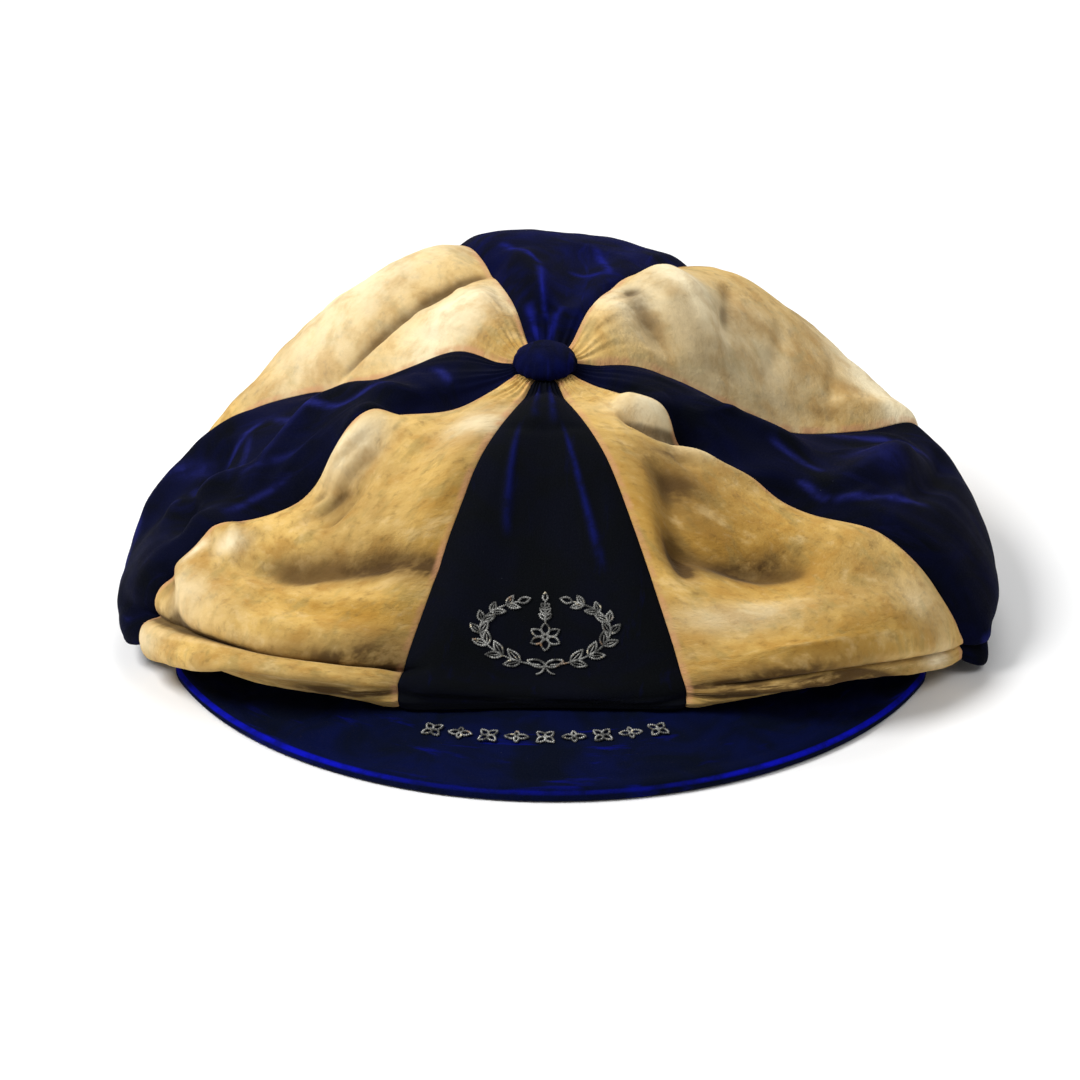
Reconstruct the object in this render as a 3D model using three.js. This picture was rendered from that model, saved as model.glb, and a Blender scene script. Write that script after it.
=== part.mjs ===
// A football honours cap: eight gores of velvet and gold cloth, sewn to a headband at the head opening and
// gathered under a covered button, with a velvet-covered peak and an embroidered wreath at the front.
//
// Millimetres, +Z up. The wearer faces -Y, so +X is the wearer's left. A direction round the crown, az, is in
// degrees from the front: 0 over the peak, 90 at the wearer's left, 180 at the back. A place down the crown,
// s, runs from 0 at the eye under the button to 1 at the head opening.

import * as THREE from "three";

// ---- Driving dimensions ----
const CLOTH = 2.0; // wall of a gore, cloth and backing together
const GAP = 0.3; // clearance that sewn neighbours keep
const HEAD = { halfWidth: 82, halfLength: 96, centreY: 10 }; // the headband's outer oval
const BAND = { wall: 1.8, height: 24, foot: 4, frontLift: 6, frontLean: 0.85, sides: 48 };
const APEX = { height: 77, eye: 4.5, seat: 10.5, tilt: 8 }; // the flat patch that the button sits on
const BUTTON = { radius: 9.6, height: 6.5, edge: 1.6, sides: 24, steps: 5 };
const PEAK = {
  radius: 118,
  centreX: 2,
  centreY: -8,
  thickness: 3,
  rootHeight: 9.7,
  tipHeight: 5,
  droop: 1.6, // how late the peak's fall starts on its way out
};
const PEAK_SPAN = {
  taperFrom: 62,
  tip: 82,
  tipWidth: 3,
  taper: 2.2,
  columns: 36,
  topSteps: 4,
  turns: [30, 90, 150], // places round the rolled edge, in degrees from its top
  underSteps: 2,
};
const FRONT = { full: 30, fade: 55 }; // how far round the opening is lifted, and where that ends, in degrees
const UNDER = { clear: 1.1, floor: 2.3, blend: 18 }; // how the cloth lies over the peak, and over the surface
const HEM = 1.2; // how far a gore's edge stands off the headband

// The crown's last stations, between the belly and the rim. in and out are shares of the way to the rim and
// back from it; down and sag are shares of the drop; steep is the share of the drop where there is no roll.
const LOW = { in: 0.08, fullIn: 0.055, down: 0.34, fullDown: 0.3, steep: 0.36 };
const MIDDLE = { out: 0.62, fullOut: 0.68, lift: 0.4, sag: 0.05, steep: 0.7 };
const FULL = { from: 45, over: 22 }; // degrees from the front where the roll fills out
const STEEP = { from: 20, over: 30 }; // the gore over the peak comes straight down, with no roll
const SEAM = { width: 5, depth: 2 };
const RELIEF = { start: 0.08, full: 0.14, fadeFrom: 0.8, fadeOver: 0.1 }; // where folds fade at both ends
const DOWN = 233; // length of a gore from eye to opening
const WREATH = { s: 0.54, halfWidth: 18, halfHeight: 11, clear: 0.5, open: 50, steps: 16 };
const SPRAY = { width: 4.2, proud: 1, taper: 0.55, crest: 0.7 }; // the wreath's section; crest is its top
const SEAM_AZ = { frontRight: -24, right: -67.5, backRight: -112.5, back: -162 };
const SEAM_AZ_LEFT = { front: 24, left: 67.5, backLeft: 112.5, back: 152 };

// ---- Materials ----
const VELVET = { color: 0x0b1030, roughness: 0.85, metalness: 0 };
const GOLD = { color: 0xcfa968, roughness: 0.75, metalness: 0 };
const LINEN = { color: 0x2a2622, roughness: 0.9, metalness: 0 };
const THREAD = { color: 0x8f8f8c, roughness: 0.5, metalness: 0.3 };

// ---- Tables ----
function rows(columns, values) {
  return values.map((line) => Object.fromEntries(columns.map((name, k) => [name, line[k]])));
}

// The crown's meridian sections. reach is the farthest that the crown stands out from the button's axis; z22
// to z94 are its heights at 22, 42, 62, 80 and 94 % of that reach; zBelly is the height at full reach.
const SECTIONS = rows(["az", "reach", "z22", "z42", "z62", "z80", "z94", "zBelly"], [
  [-180, 122, 86, 90, 91, 83, 61, 30],
  [-162, 122, 87, 89, 90, 81, 57, 28],
  [-135, 121, 85, 80, 78, 68, 46, 22],
  [-112.5, 125, 80, 68, 59, 49, 33, 15],
  [-90, 125.5, 76, 69, 54, 42, 27, 9],
  [-78, 128.8, 74, 71, 52, 42, 29, 9],
  [-67.5, 128, 71, 71, 49, 44, 33, 10],
  [-45, 117, 73, 65, 50, 34.5, 26.5, 19.5],
  [-24, 98, 75, 69, 54, 37, 23, 16],
  [0, 90, 76, 67, 50, 34, 18.5, 13.5],
  [24, 98, 75, 69, 54, 37, 22, 14],
  [45, 118, 72, 63, 47, 35, 26.5, 18.5],
  [67.5, 132, 73.5, 57, 47, 44, 29, 9],
  [77, 135.8, 74, 60, 49, 44, 29, 10],
  [90, 135, 74, 62, 50, 46, 32, 13],
  [112.5, 134, 75, 60, 44.5, 41, 38, 20],
  [135, 128, 85, 85, 79, 70, 52, 26],
  [152, 125, 88, 90, 84, 77, 56, 28],
]);
const SHARES = { z22: 0.22, z42: 0.42, z62: 0.62, z80: 0.8, z94: 0.94 };

// The folds. Each runs from (az0, s0) to (az1, s1), bows sideways by bow, and stands proud by height, or is a
// crease where height is negative. width is its half width, and skew makes one flank the steeper.
const FOLDS = rows(["what", "az0", "s0", "az1", "s1", "bow", "width", "height", "skew"], [
  ["crease under the front right lobe", -20, 0.618, -78, 0.663, 2, 3.6, -7, 0.2],
  ["front right lobe", -28, 0.568, -66, 0.6, 0, 9, 4, 0],
  ["roll under it", -28, 0.681, -78, 0.721, 0, 6, 3, 0],
  ["nick at the lobe's end", -69.5, 0.591, -57, 0.64, 0, 4, -2.8, 0],
  ["hollow across the front right gore", -22, 0.458, -60, 0.535, 6, 6.5, -4.4, 0],
  ["top of the front right lobe", -24, 0.512, -58, 0.57, 3, 5, 2.5, 0],
  ["knob by the right gore", -71, 0.28, -59, 0.379, 0, 6, 5.5, 0],
  ["hollow beside the knob", -60, 0.298, -46, 0.415, 0, 5, -3, 0],
  ["ridge up to the button", -40, 0.217, -30, 0.37, 0, 6, 2, 0],
  ["crease under the front left lobe", 24, 0.672, 84, 0.725, -5, 3.8, -5, 0.2],
  ["front left lobe", 28, 0.605, 66, 0.625, 0, 9, 4, 0],
  ["roll under it", 30, 0.735, 84, 0.785, 0, 6, 2, 0],
  ["crease under the ear", 44, 0.213, 72, 0.28, 1, 5.5, -3.6, 0],
  ["ear", 50, 0.19, 74, 0.24, 0, 6, 4.2, 0],
  ["ridge below the ear", 55, 0.271, 74, 0.37, 0, 6, 3, 0],
  ["hollow by the front seam", 44, 0.298, 30, 0.487, 2, 4.5, -4.5, 0],
  ["hollow across the front left gore", 29, 0.408, 56, 0.488, 0, 6.5, -4, 0],
  ["swell below it", 27, 0.495, 60, 0.6, 0, 8, 3, 0],
  ["long ridge on the right gore", -72, 0.46, -104, 0.334, 3, 5, 5, 0],
  ["ridge below it", -86, 0.568, -80, 0.424, 0, 5, 4, 0],
  ["hollow between them", -70, 0.55, -100, 0.478, 0, 5, -4, 0],
  ["upper ridge on the right gore", -108, 0.343, -70, 0.24, 0, 4, 3, 0],
  ["side ridge on the right gore", -110, 0.46, -84, 0.658, 0, 6, 4, 0],
  ["crease across the back right gore", -106, 0.4, -172, 0.318, 7.5, 5.5, -3.6, 0],
  ["swell below the crease", -160, 0.36, -118, 0.46, 0, 12, 4, 0],
  ["swell above the crease", -155, 0.23, -122, 0.262, 0, 8, 3, 0],
  ["hollow on the back left gore", 153, 0.28, 118, 0.235, 0, 6, -3, 0],
  ["swell on the back left gore", 150, 0.334, 118, 0.316, 0, 8, 4, 0],
  ["ridge by the left gore", 118, 0.478, 112, 0.622, 0, 6, 3, 0],
  ["long ridge on the left gore", 72, 0.397, 100, 0.523, 0, 6, 5, 0],
  ["upper ridge on the left gore", 84, 0.244, 88, 0.388, 0, 5, 3.5, 0],
  ["hollow on the left gore", 78, 0.496, 106, 0.604, 0, 5, -4, 0],
  ["side ridge on the left gore", 100, 0.37, 104, 0.55, 0, 6, 4, 0],
  ["bulge by the foot of the left gore", 69.5, 0.66, 71, 0.8, 0, 7.5, 6, 0],
  ["ridge on the back gore", -172, 0.352, 178, 0.181, 2, 5, 4, 0],
  ["hollow on the back gore", 165, 0.19, 168, 0.37, 0, 6, -3, 0],
]);

// The gores, in order round the crown, with the number of strips that each is divided into.
const GORES = rows(["name", "from", "to", "strips", "finish"], [
  ["panel_front", SEAM_AZ.frontRight, SEAM_AZ_LEFT.front, 7, VELVET],
  ["panel_front_left", SEAM_AZ_LEFT.front, SEAM_AZ_LEFT.left, 11, GOLD],
  ["panel_left", SEAM_AZ_LEFT.left, SEAM_AZ_LEFT.backLeft, 9, VELVET],
  ["panel_back_left", SEAM_AZ_LEFT.backLeft, SEAM_AZ_LEFT.back, 8, GOLD],
  ["panel_back", SEAM_AZ_LEFT.back, SEAM_AZ.back + 360, 7, VELVET],
  ["panel_back_right", SEAM_AZ.back, SEAM_AZ.backRight, 9, GOLD],
  ["panel_right", SEAM_AZ.backRight, SEAM_AZ.right, 9, VELVET],
  ["panel_front_right", SEAM_AZ.right, SEAM_AZ.frontRight, 11, GOLD],
]);

// Rows down a gore: each band runs to s in so many steps, closest together where the lobes tuck under.
const ROW_BANDS = rows(["to", "steps"], [[0.1, 1], [0.55, 14], [0.82, 12], [1, 3]]);

// ---- Small helpers ----
const wrap = (az) => ((((az + 180) % 360) + 360) % 360) - 180;
const clamp01 = (t) => Math.min(Math.max(t, 0), 1);
const smooth = (t) => clamp01(t) ** 2 * (3 - 2 * clamp01(t));
const mix = (a, b, t) => a + (b - a) * t;
const radians = THREE.MathUtils.degToRad;
const degrees = THREE.MathUtils.radToDeg;
const steps = (count) => Array.from({ length: count + 1 }, (_, k) => k / count);

function polar(az, radius, z) {
  return new THREE.Vector3(radius * Math.sin(radians(az)), -radius * Math.cos(radians(az)), z);
}

// A cubic between a and b over a step h, with slopes ma and mb at its ends.
function cubic(a, b, ma, mb, h, t) {
  const t2 = t * t;
  const t3 = t2 * t;
  return (2 * t3 - 3 * t2 + 1) * a + (t3 - 2 * t2 + t) * h * ma + (3 * t2 - 2 * t3) * b + (t3 - t2) * h * mb;
}

// A column of SECTIONS at any az, by a smooth curve that closes on itself.
function around(column, az) {
  const count = SECTIONS.length;
  const at = (k) => SECTIONS[(k + count) % count].az + 360 * Math.floor(k / count);
  const value = (k) => SECTIONS[(k + count) % count][column];
  const slope = (k) => (value(k + 1) - value(k - 1)) / (at(k + 1) - at(k - 1));
  const x = wrap(az);
  let k = count - 1;
  while (at(k) > x) k -= 1;
  const h = at(k + 1) - at(k);
  return cubic(value(k), value(k + 1), slope(k), slope(k + 1), h, (x - at(k)) / h);
}

// ---- The head opening and the peak's surface ----
// How far the head opening's oval lies from the button's axis.
function headRadius(az) {
  const dx = Math.sin(radians(az));
  const dy = -Math.cos(radians(az));
  const a = (dx / HEAD.halfWidth) ** 2 + (dy / HEAD.halfLength) ** 2;
  const b = (-2 * dy * HEAD.centreY) / HEAD.halfLength ** 2;
  const c = (HEAD.centreY / HEAD.halfLength) ** 2 - 1;
  return (-b + Math.sqrt(b * b - 4 * a * c)) / (2 * a);
}

// 1 over the peak, falling to 0 at the sides.
function frontShare(az) {
  return 1 - smooth((Math.abs(wrap(az)) - FRONT.full) / FRONT.fade);
}

function peakRoot(az) {
  return headRadius(az) + GAP;
}

// The peak's outer edge: a circle beside the button's axis, drawn in to the root at both tips.
function peakEdge(az) {
  const along = PEAK.centreX * Math.sin(radians(az)) - PEAK.centreY * Math.cos(radians(az));
  const off = Math.hypot(PEAK.centreX, PEAK.centreY);
  const circle = along + Math.sqrt(PEAK.radius ** 2 - off ** 2 + along ** 2);
  const taper = clamp01((Math.abs(wrap(az)) - PEAK_SPAN.taperFrom) / (PEAK_SPAN.tip - PEAK_SPAN.taperFrom));
  return mix(circle, peakRoot(az) + PEAK_SPAN.tipWidth, taper ** PEAK_SPAN.taper);
}

function peakTop(az, radius) {
  const root = peakRoot(az);
  const q = clamp01((radius - root) / (peakEdge(az) - root));
  const rootHeight = mix(PEAK.tipHeight, PEAK.rootHeight, frontShare(az));
  return mix(rootHeight, PEAK.thickness, q ** PEAK.droop);
}

// The height at which the crown's underside lies: over the peak, or just above the surface below.
function restHeight(az, radius) {
  const overPeak = 1 - smooth((Math.abs(wrap(az)) - PEAK_SPAN.tip) / UNDER.blend);
  return mix(UNDER.floor, peakTop(az, radius) + UNDER.clear, overPeak);
}

// ---- The crown's smooth form ----
// The stations of one meridian, as [distance from the axis, height], from the eye to the head opening.
function meridian(az) {
  const reach = around("reach", az);
  const belly = around("zBelly", az);
  const slope = -Math.tan(radians(APEX.tilt)) * Math.cos(radians(az));
  const steep = 1 - smooth((Math.abs(wrap(az)) - STEEP.from) / STEEP.over);
  const rim = mix(headRadius(az) + HEM, reach, steep);
  const full = smooth((Math.abs(wrap(az)) - FULL.from) / FULL.over);
  const low = reach - mix(LOW.in, LOW.fullIn, full) * (reach - rim);
  const middle = rim + mix(MIDDLE.out, MIDDLE.fullOut, full) * (reach - rim);
  const rimHeight = restHeight(az, rim);
  const lowRest = restHeight(az, low);
  const lowHeight = mix(lowRest, belly, mix(LOW.down, LOW.fullDown, full));
  const middleHeight = restHeight(az, middle) + MIDDLE.lift + MIDDLE.sag * (belly - lowRest);
  return [
    [APEX.eye, APEX.height + APEX.eye * slope],
    [APEX.seat, APEX.height + APEX.seat * slope],
    ...Object.entries(SHARES).map(([column, share]) => [share * reach, around(column, az)]),
    [reach, belly],
    [low, mix(lowHeight, mix(belly, rimHeight, LOW.steep), steep)],
    [middle, mix(middleHeight, mix(belly, rimHeight, MIDDLE.steep), steep)],
    [rim, rimHeight],
  ];
}

// A point of the crown before its seams and folds: a curve through the stations, eased by their spacing.
function crownBase(az, s) {
  const at = meridian(az);
  const last = at.length - 1;
  const chord = (k) => Math.hypot(at[k + 1][0] - at[k][0], at[k + 1][1] - at[k][1]);
  const slope = (k, axis) => (at[k + 1][axis] - at[k][axis]) / chord(k);
  const tangent = (k, axis) => {
    if (k === 0) return slope(0, axis);
    if (k === last) return slope(last - 1, axis);
    return (chord(k) * slope(k - 1, axis) + chord(k - 1) * slope(k, axis)) / (chord(k) + chord(k - 1));
  };
  const place = clamp01(s) * last;
  const k = Math.min(Math.floor(place), last - 1);
  const value = (axis) =>
    cubic(at[k][axis], at[k + 1][axis], tangent(k, axis), tangent(k + 1, axis), chord(k), place - k);
  return polar(az, value(0), value(1));
}

function crownNormal(az, s) {
  const side = 0.05;
  const down = 0.002;
  const across = crownBase(az + side, s).sub(crownBase(az - side, s));
  const along = crownBase(az, Math.min(s + down, 1)).sub(crownBase(az, Math.max(s - down, 0)));
  return along.cross(across).normalize();
}

// ---- Seams and folds ----
// How far one fold lifts the cloth at (az, s). Distances are worked out on the gore laid flat.
function foldLift(fold, az, s) {
  const degree = radians(1) * fold.radius;
  const x = wrap(az - fold.az0) * degree;
  const y = (s - fold.s0) * DOWN;
  const dx = wrap(fold.az1 - fold.az0) * degree;
  const dy = (fold.s1 - fold.s0) * DOWN;
  const length = Math.hypot(dx, dy);
  const t = (x * dx + y * dy) / length ** 2;
  const beside = (dx * y - dy * x) / length - fold.bow * 4 * t * (1 - t);
  const share = clamp01(1 - (2 * t - 1) ** 4) ** 1.5;
  const width = fold.width * (beside > 0 ? 1 + fold.skew : 1 - fold.skew);
  return fold.height * share * Math.exp(-((beside / width) ** 2));
}

// Each fold keeps the crown's mean radius between its ends.
for (const fold of FOLDS) {
  const ends = [crownBase(fold.az0, fold.s0), crownBase(fold.az1, fold.s1)];
  fold.radius = (Math.hypot(ends[0].x, ends[0].y) + Math.hypot(ends[1].x, ends[1].y)) / 2;
}

function relief(az, s, base) {
  const radius = Math.hypot(base.x, base.y);
  let lift = 0;
  for (const gore of GORES) {
    const beside = radians(wrap(az - gore.from)) * radius;
    lift -= SEAM.depth * Math.exp(-((beside / SEAM.width) ** 2));
  }
  for (const fold of FOLDS) lift += foldLift(fold, az, s);
  const above = smooth((s - RELIEF.start) / (RELIEF.full - RELIEF.start));
  const below = 1 - smooth((s - RELIEF.fadeFrom) / RELIEF.fadeOver);
  return lift * above * below;
}

// The crown's outer face at (az, s), moved out along its normal by proud.
function crownPoint(az, s, proud = 0) {
  const base = crownBase(az, s);
  return base.clone().addScaledVector(crownNormal(az, s), relief(az, s, base) + proud);
}

// ---- Closed meshes from grids ----
function solid(points, quads) {
  const geometry = new THREE.BufferGeometry().setFromPoints(points);
  geometry.setIndex(quads.flatMap(([a, b, c, d]) => [a, b, c, a, c, d]));
  geometry.computeVertexNormals();
  return geometry;
}

// A wall between two grids of points, given column by column, closed along all four edges.
function wallGeometry(outer, inner) {
  const columns = outer.length;
  const down = outer[0].length;
  const front = (i, j) => i * down + j;
  const back = (i, j) => columns * down + i * down + j;
  const quads = [];
  for (let i = 0; i < columns - 1; i += 1) {
    for (let j = 0; j < down - 1; j += 1) {
      quads.push([front(i, j), front(i, j + 1), front(i + 1, j + 1), front(i + 1, j)]);
      quads.push([back(i, j), back(i + 1, j), back(i + 1, j + 1), back(i, j + 1)]);
    }
    quads.push([front(i, 0), front(i + 1, 0), back(i + 1, 0), back(i, 0)]);
    quads.push([front(i, down - 1), back(i, down - 1), back(i + 1, down - 1), front(i + 1, down - 1)]);
  }
  for (let j = 0; j < down - 1; j += 1) {
    quads.push([front(0, j), back(0, j), back(0, j + 1), front(0, j + 1)]);
    const end = columns - 1;
    quads.push([front(end, j), front(end, j + 1), back(end, j + 1), back(end, j)]);
  }
  return solid([...outer.flat(), ...inner.flat()], quads);
}

// A body swept along sections: closed loops of the same number of points, joined in turn. It closes on itself
// when ring is true, and otherwise has flat ends.
function sweptGeometry(sections, ring) {
  const loop = sections[0].length;
  const count = sections.length;
  const at = (i, j) => (i % count) * loop + (j % loop);
  const quads = [];
  for (let i = 0; i < (ring ? count : count - 1); i += 1) {
    for (let j = 0; j < loop; j += 1) quads.push([at(i, j), at(i, j + 1), at(i + 1, j + 1), at(i + 1, j)]);
  }
  const geometry = solid(sections.flat(), quads);
  if (ring) return geometry;
  const index = [...geometry.index.array];
  for (let j = 1; j < loop - 1; j += 1) {
    index.push(at(0, 0), at(0, j + 1), at(0, j));
    index.push(at(count - 1, 0), at(count - 1, j), at(count - 1, j + 1));
  }
  geometry.setIndex(index);
  geometry.computeVertexNormals();
  return geometry;
}

function part(name, geometry, finish) {
  const mesh = new THREE.Mesh(geometry, new THREE.MeshStandardMaterial(finish));
  mesh.name = name;
  return mesh;
}

// ---- The pieces ----
function rowPlaces() {
  const places = [0];
  for (const band of ROW_BANDS) {
    const from = places[places.length - 1];
    for (const t of steps(band.steps).slice(1)) places.push(mix(from, band.to, t));
  }
  return places;
}

// The wall at the cloth's slope: thick enough along the normal to stay a full wall where a fold is steep.
function wallDepth(az, s) {
  const ahead = 0.012;
  const most = 1.6;
  const base = crownBase(az, s);
  const run = DOWN * ahead;
  const rise = relief(az, Math.min(s + ahead, 1), base) - relief(az, Math.max(s - ahead, 0), base);
  return CLOTH * Math.min(Math.hypot(1, rise / (2 * run)), most);
}

function gore({ name, from, to, strips, finish }) {
  const grid = (depth) =>
    steps(strips).map((u) => {
      const az = mix(from, to, u);
      return rowPlaces().map((s) => crownPoint(az, s, depth ? -wallDepth(az, s) : 0));
    });
  // Both side edges draw back by half a gap, square to the seam, so that neighbours don't touch.
  const outer = grid(false);
  const inner = grid(true);
  for (const [edge, next] of [[0, 1], [strips, strips - 1]]) {
    const end = outer[edge].length - 1;
    const pulls = outer[edge].map((point, j) => {
      const behind = outer[edge][Math.max(j - 1, 0)];
      const along = outer[edge][Math.min(j + 1, end)].clone().sub(behind).normalize();
      const away = outer[next][j].clone().sub(point);
      return away.addScaledVector(along, -away.dot(along)).setLength(GAP / 2);
    });
    for (const face of [outer, inner]) face[edge].forEach((point, j) => point.add(pulls[j]));
  }
  return part(name, wallGeometry(outer, inner), finish);
}

// The headband: an oval ring with an upright foot, leaning in under the front gore above it.
function headband() {
  const section = (angle) => {
    const x = Math.sin(angle);
    const y = -Math.cos(angle);
    const az = degrees(Math.atan2(HEAD.halfWidth * x, -HEAD.centreY - HEAD.halfLength * y));
    const share = frontShare(az);
    const bottom = BAND.frontLift * share;
    const lean = BAND.frontLean * share * (BAND.height - BAND.foot);
    const at = (inward, z) =>
      new THREE.Vector3((HEAD.halfWidth - inward) * x, HEAD.centreY + (HEAD.halfLength - inward) * y, z);
    return [
      at(BAND.wall, bottom),
      at(BAND.wall, bottom + BAND.foot),
      at(lean + BAND.wall, bottom + BAND.height),
      at(lean, bottom + BAND.height),
      at(0, bottom + BAND.foot),
      at(0, bottom),
    ];
  };
  const angles = steps(BAND.sides).slice(0, -1).map((t) => t * 2 * Math.PI);
  return part("headband", sweptGeometry(angles.map(section), true), LINEN);
}

// The peak: a thin crescent that falls away from its root to a rolled outer edge.
function peak() {
  const roll = PEAK.thickness / 2;
  const section = (az) => {
    const root = peakRoot(az);
    const edge = peakEdge(az) - roll;
    const above = (r) => polar(az, r, peakTop(az, r));
    const turned = (turn) => {
      const angle = radians(turn);
      return polar(az, edge + roll * Math.sin(angle), roll * (1 + Math.cos(angle)));
    };
    const below = (r) => polar(az, r, peakTop(az, r) - peakTop(az, edge));
    return [
      ...steps(PEAK_SPAN.topSteps).map((q) => above(mix(root, edge, q))),
      ...PEAK_SPAN.turns.map(turned),
      ...steps(PEAK_SPAN.underSteps).map((q) => below(mix(edge, root, q))),
    ];
  };
  const places = steps(PEAK_SPAN.columns).map((t) => mix(-PEAK_SPAN.tip, PEAK_SPAN.tip, t));
  return part("peak", sweptGeometry(places.map(section), false), VELVET);
}

function button() {
  const side = BUTTON.radius - BUTTON.edge;
  const dome = steps(BUTTON.steps).map((t) => {
    const angle = (t * Math.PI) / 2;
    const height = mix(BUTTON.edge, BUTTON.height, Math.sin(angle));
    return new THREE.Vector2(BUTTON.radius * Math.cos(angle), height);
  });
  dome[dome.length - 1].x = 0;
  const profile = [new THREE.Vector2(0, 0), new THREE.Vector2(side, 0), ...dome];
  const lathe = new THREE.LatheGeometry(profile, BUTTON.sides);
  lathe.rotateX(Math.PI / 2);
  const mesh = part("button", lathe, VELVET);
  mesh.rotation.x = radians(APEX.tilt);
  mesh.position.z = APEX.height + GAP;
  return mesh;
}

// The badge: a laurel wreath, open at its top, that follows the front gore.
function badge() {
  const radius = Math.hypot(crownBase(0, WREATH.s).x, crownBase(0, WREATH.s).y);
  const end = Math.PI - radians(WREATH.open) / 2;
  const place = (x, down, proud) =>
    crownPoint(degrees(x / radius), WREATH.s + down / DOWN, WREATH.clear + proud);
  const section = (angle) => {
    const half = (SPRAY.width / 2) * (1 - SPRAY.taper * (Math.abs(angle) / end) ** 3);
    const crest = half * SPRAY.crest;
    const at = (offset, proud) => {
      const across = Math.sin(angle) * (WREATH.halfWidth + offset);
      return place(across, Math.cos(angle) * (WREATH.halfHeight + offset), proud);
    };
    return [at(half, 0), at(-half, 0), at(-crest, SPRAY.proud), at(crest, SPRAY.proud)];
  };
  const angles = steps(WREATH.steps).map((t) => mix(-end, end, t));
  return part("badge", sweptGeometry(angles.map(section), false), THREAD);
}

// ---- Assembly ----
const cap = new THREE.Group();
for (const row of GORES) cap.add(gore(row));
cap.add(headband(), peak(), button(), badge());

// The row's origin is the middle of the whole cap's box, on the surface that it rests on.
const box = new THREE.Box3().setFromObject(cap);
cap.position.set(-(box.min.x + box.max.x) / 2, -(box.min.y + box.max.y) / 2, -box.min.z);

export default cap;
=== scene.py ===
"""A football honours cap: eight gores of velvet and aged gold cloth, a peak, a covered button and stitching.

Shapes are worked out in millimetres about the button's axis, with +Z up. A direction round the crown, az,
is in degrees from the front: 0 over the peak, 90 at the wearer's left. A place down the crown, s, runs from
0 at the eye under the button to 1 at the head opening. Pieces are built in metres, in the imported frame.
"""
import itertools
import math

import bpy
import numpy as np
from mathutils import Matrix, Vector


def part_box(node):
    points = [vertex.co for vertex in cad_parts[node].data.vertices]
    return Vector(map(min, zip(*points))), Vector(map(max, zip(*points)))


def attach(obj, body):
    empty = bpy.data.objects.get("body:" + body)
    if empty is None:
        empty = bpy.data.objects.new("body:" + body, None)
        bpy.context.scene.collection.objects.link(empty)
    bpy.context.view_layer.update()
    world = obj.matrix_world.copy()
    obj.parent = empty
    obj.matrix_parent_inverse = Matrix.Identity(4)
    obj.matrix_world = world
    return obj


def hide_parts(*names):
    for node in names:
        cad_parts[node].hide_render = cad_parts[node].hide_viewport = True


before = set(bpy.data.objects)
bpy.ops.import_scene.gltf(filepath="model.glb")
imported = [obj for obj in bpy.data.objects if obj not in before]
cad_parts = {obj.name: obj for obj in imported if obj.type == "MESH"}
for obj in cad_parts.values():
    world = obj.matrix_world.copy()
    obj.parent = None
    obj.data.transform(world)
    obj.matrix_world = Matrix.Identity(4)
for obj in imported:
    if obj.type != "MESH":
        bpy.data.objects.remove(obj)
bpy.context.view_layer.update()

# ---- Sizes, in millimetres ----
CLOTH = 2.0
GAP = 0.3
SEAM_GAP = 0.1
HEAD = {"half_width": 82, "half_length": 96, "centre_y": 10}
BAND = {"wall": 1.8, "height": 24, "foot": 4, "front_lift": 6, "front_lean": 0.85}
APEX = {"height": 77, "eye": 4.5, "seat": 10.5, "tilt": 8}
BUTTON = {"radius": 9.6, "height": 6.5, "edge": 1.6}
PEAK = {
    "radius": 118, "centre_x": 2, "centre_y": -8, "thickness": 3,
    "root": 9.7, "tip_height": 5, "droop": 1.6,
}
PEAK_SPAN = {"taper_from": 62, "tip": 82, "tip_width": 3, "taper": 2.2}
FRONT = {"full": 30, "fade": 55}
UNDER = {"clear": 1.1, "floor": 2.3, "blend": 18}
HEM = 1.2
STEEP = {"from": 20, "over": 30}
SEAM = {"width": 5, "depth": 2}
RELIEF = {"start": 0.08, "full": 0.14, "fade_from": 0.8, "fade_over": 0.1}
DOWN = 233
WREATH = {"s": 0.54, "half_width": 18, "half_height": 11}
MM = 0.001


def rows(columns, values):
    """A table as a list of dicts. Columns that a line leaves out at its end are 0."""
    return [dict(itertools.zip_longest(columns, line, fillvalue=0)) for line in values]


# The crown's meridian sections. reach is the farthest that the crown stands out from the button's axis.
# z22 to z94 are its heights at 22, 42, 62, 80 and 94 % of that reach, and z_belly the height at full reach.
SECTIONS = rows(["az", "reach", "z22", "z42", "z62", "z80", "z94", "z_belly"], [
    [-180, 122, 86, 90, 91, 83, 61, 30],
    [-162, 122, 87, 89, 90, 81, 57, 28],
    [-135, 121, 85, 80, 78, 68, 46, 22],
    [-112.5, 125, 80, 68, 59, 49, 33, 15],
    [-90, 125.5, 76, 69, 54, 42, 27, 9],
    [-78, 128.8, 74, 71, 52, 42, 29, 9],
    [-67.5, 128, 71, 71, 49, 44, 33, 10],
    [-45, 117, 73, 65, 50, 34.5, 26.5, 19.5],
    [-24, 98, 75, 69, 54, 37, 23, 16],
    [0, 90, 76, 67, 50, 34, 18.5, 13.5],
    [24, 98, 75, 69, 54, 37, 22, 14],
    [45, 118, 72, 63, 47, 35, 26.5, 18.5],
    [67.5, 132, 73.5, 57, 47, 44, 29, 9],
    [77, 135.8, 74, 60, 49, 44, 29, 10],
    [90, 135, 74, 62, 50, 46, 32, 13],
    [112.5, 134, 75, 60, 44.5, 41, 38, 20],
    [135, 128, 85, 85, 79, 70, 52, 26],
    [152, 125, 88, 90, 84, 77, 56, 28],
])
SHARES = {"z22": 0.22, "z42": 0.42, "z62": 0.62, "z80": 0.8, "z94": 0.94}

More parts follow.
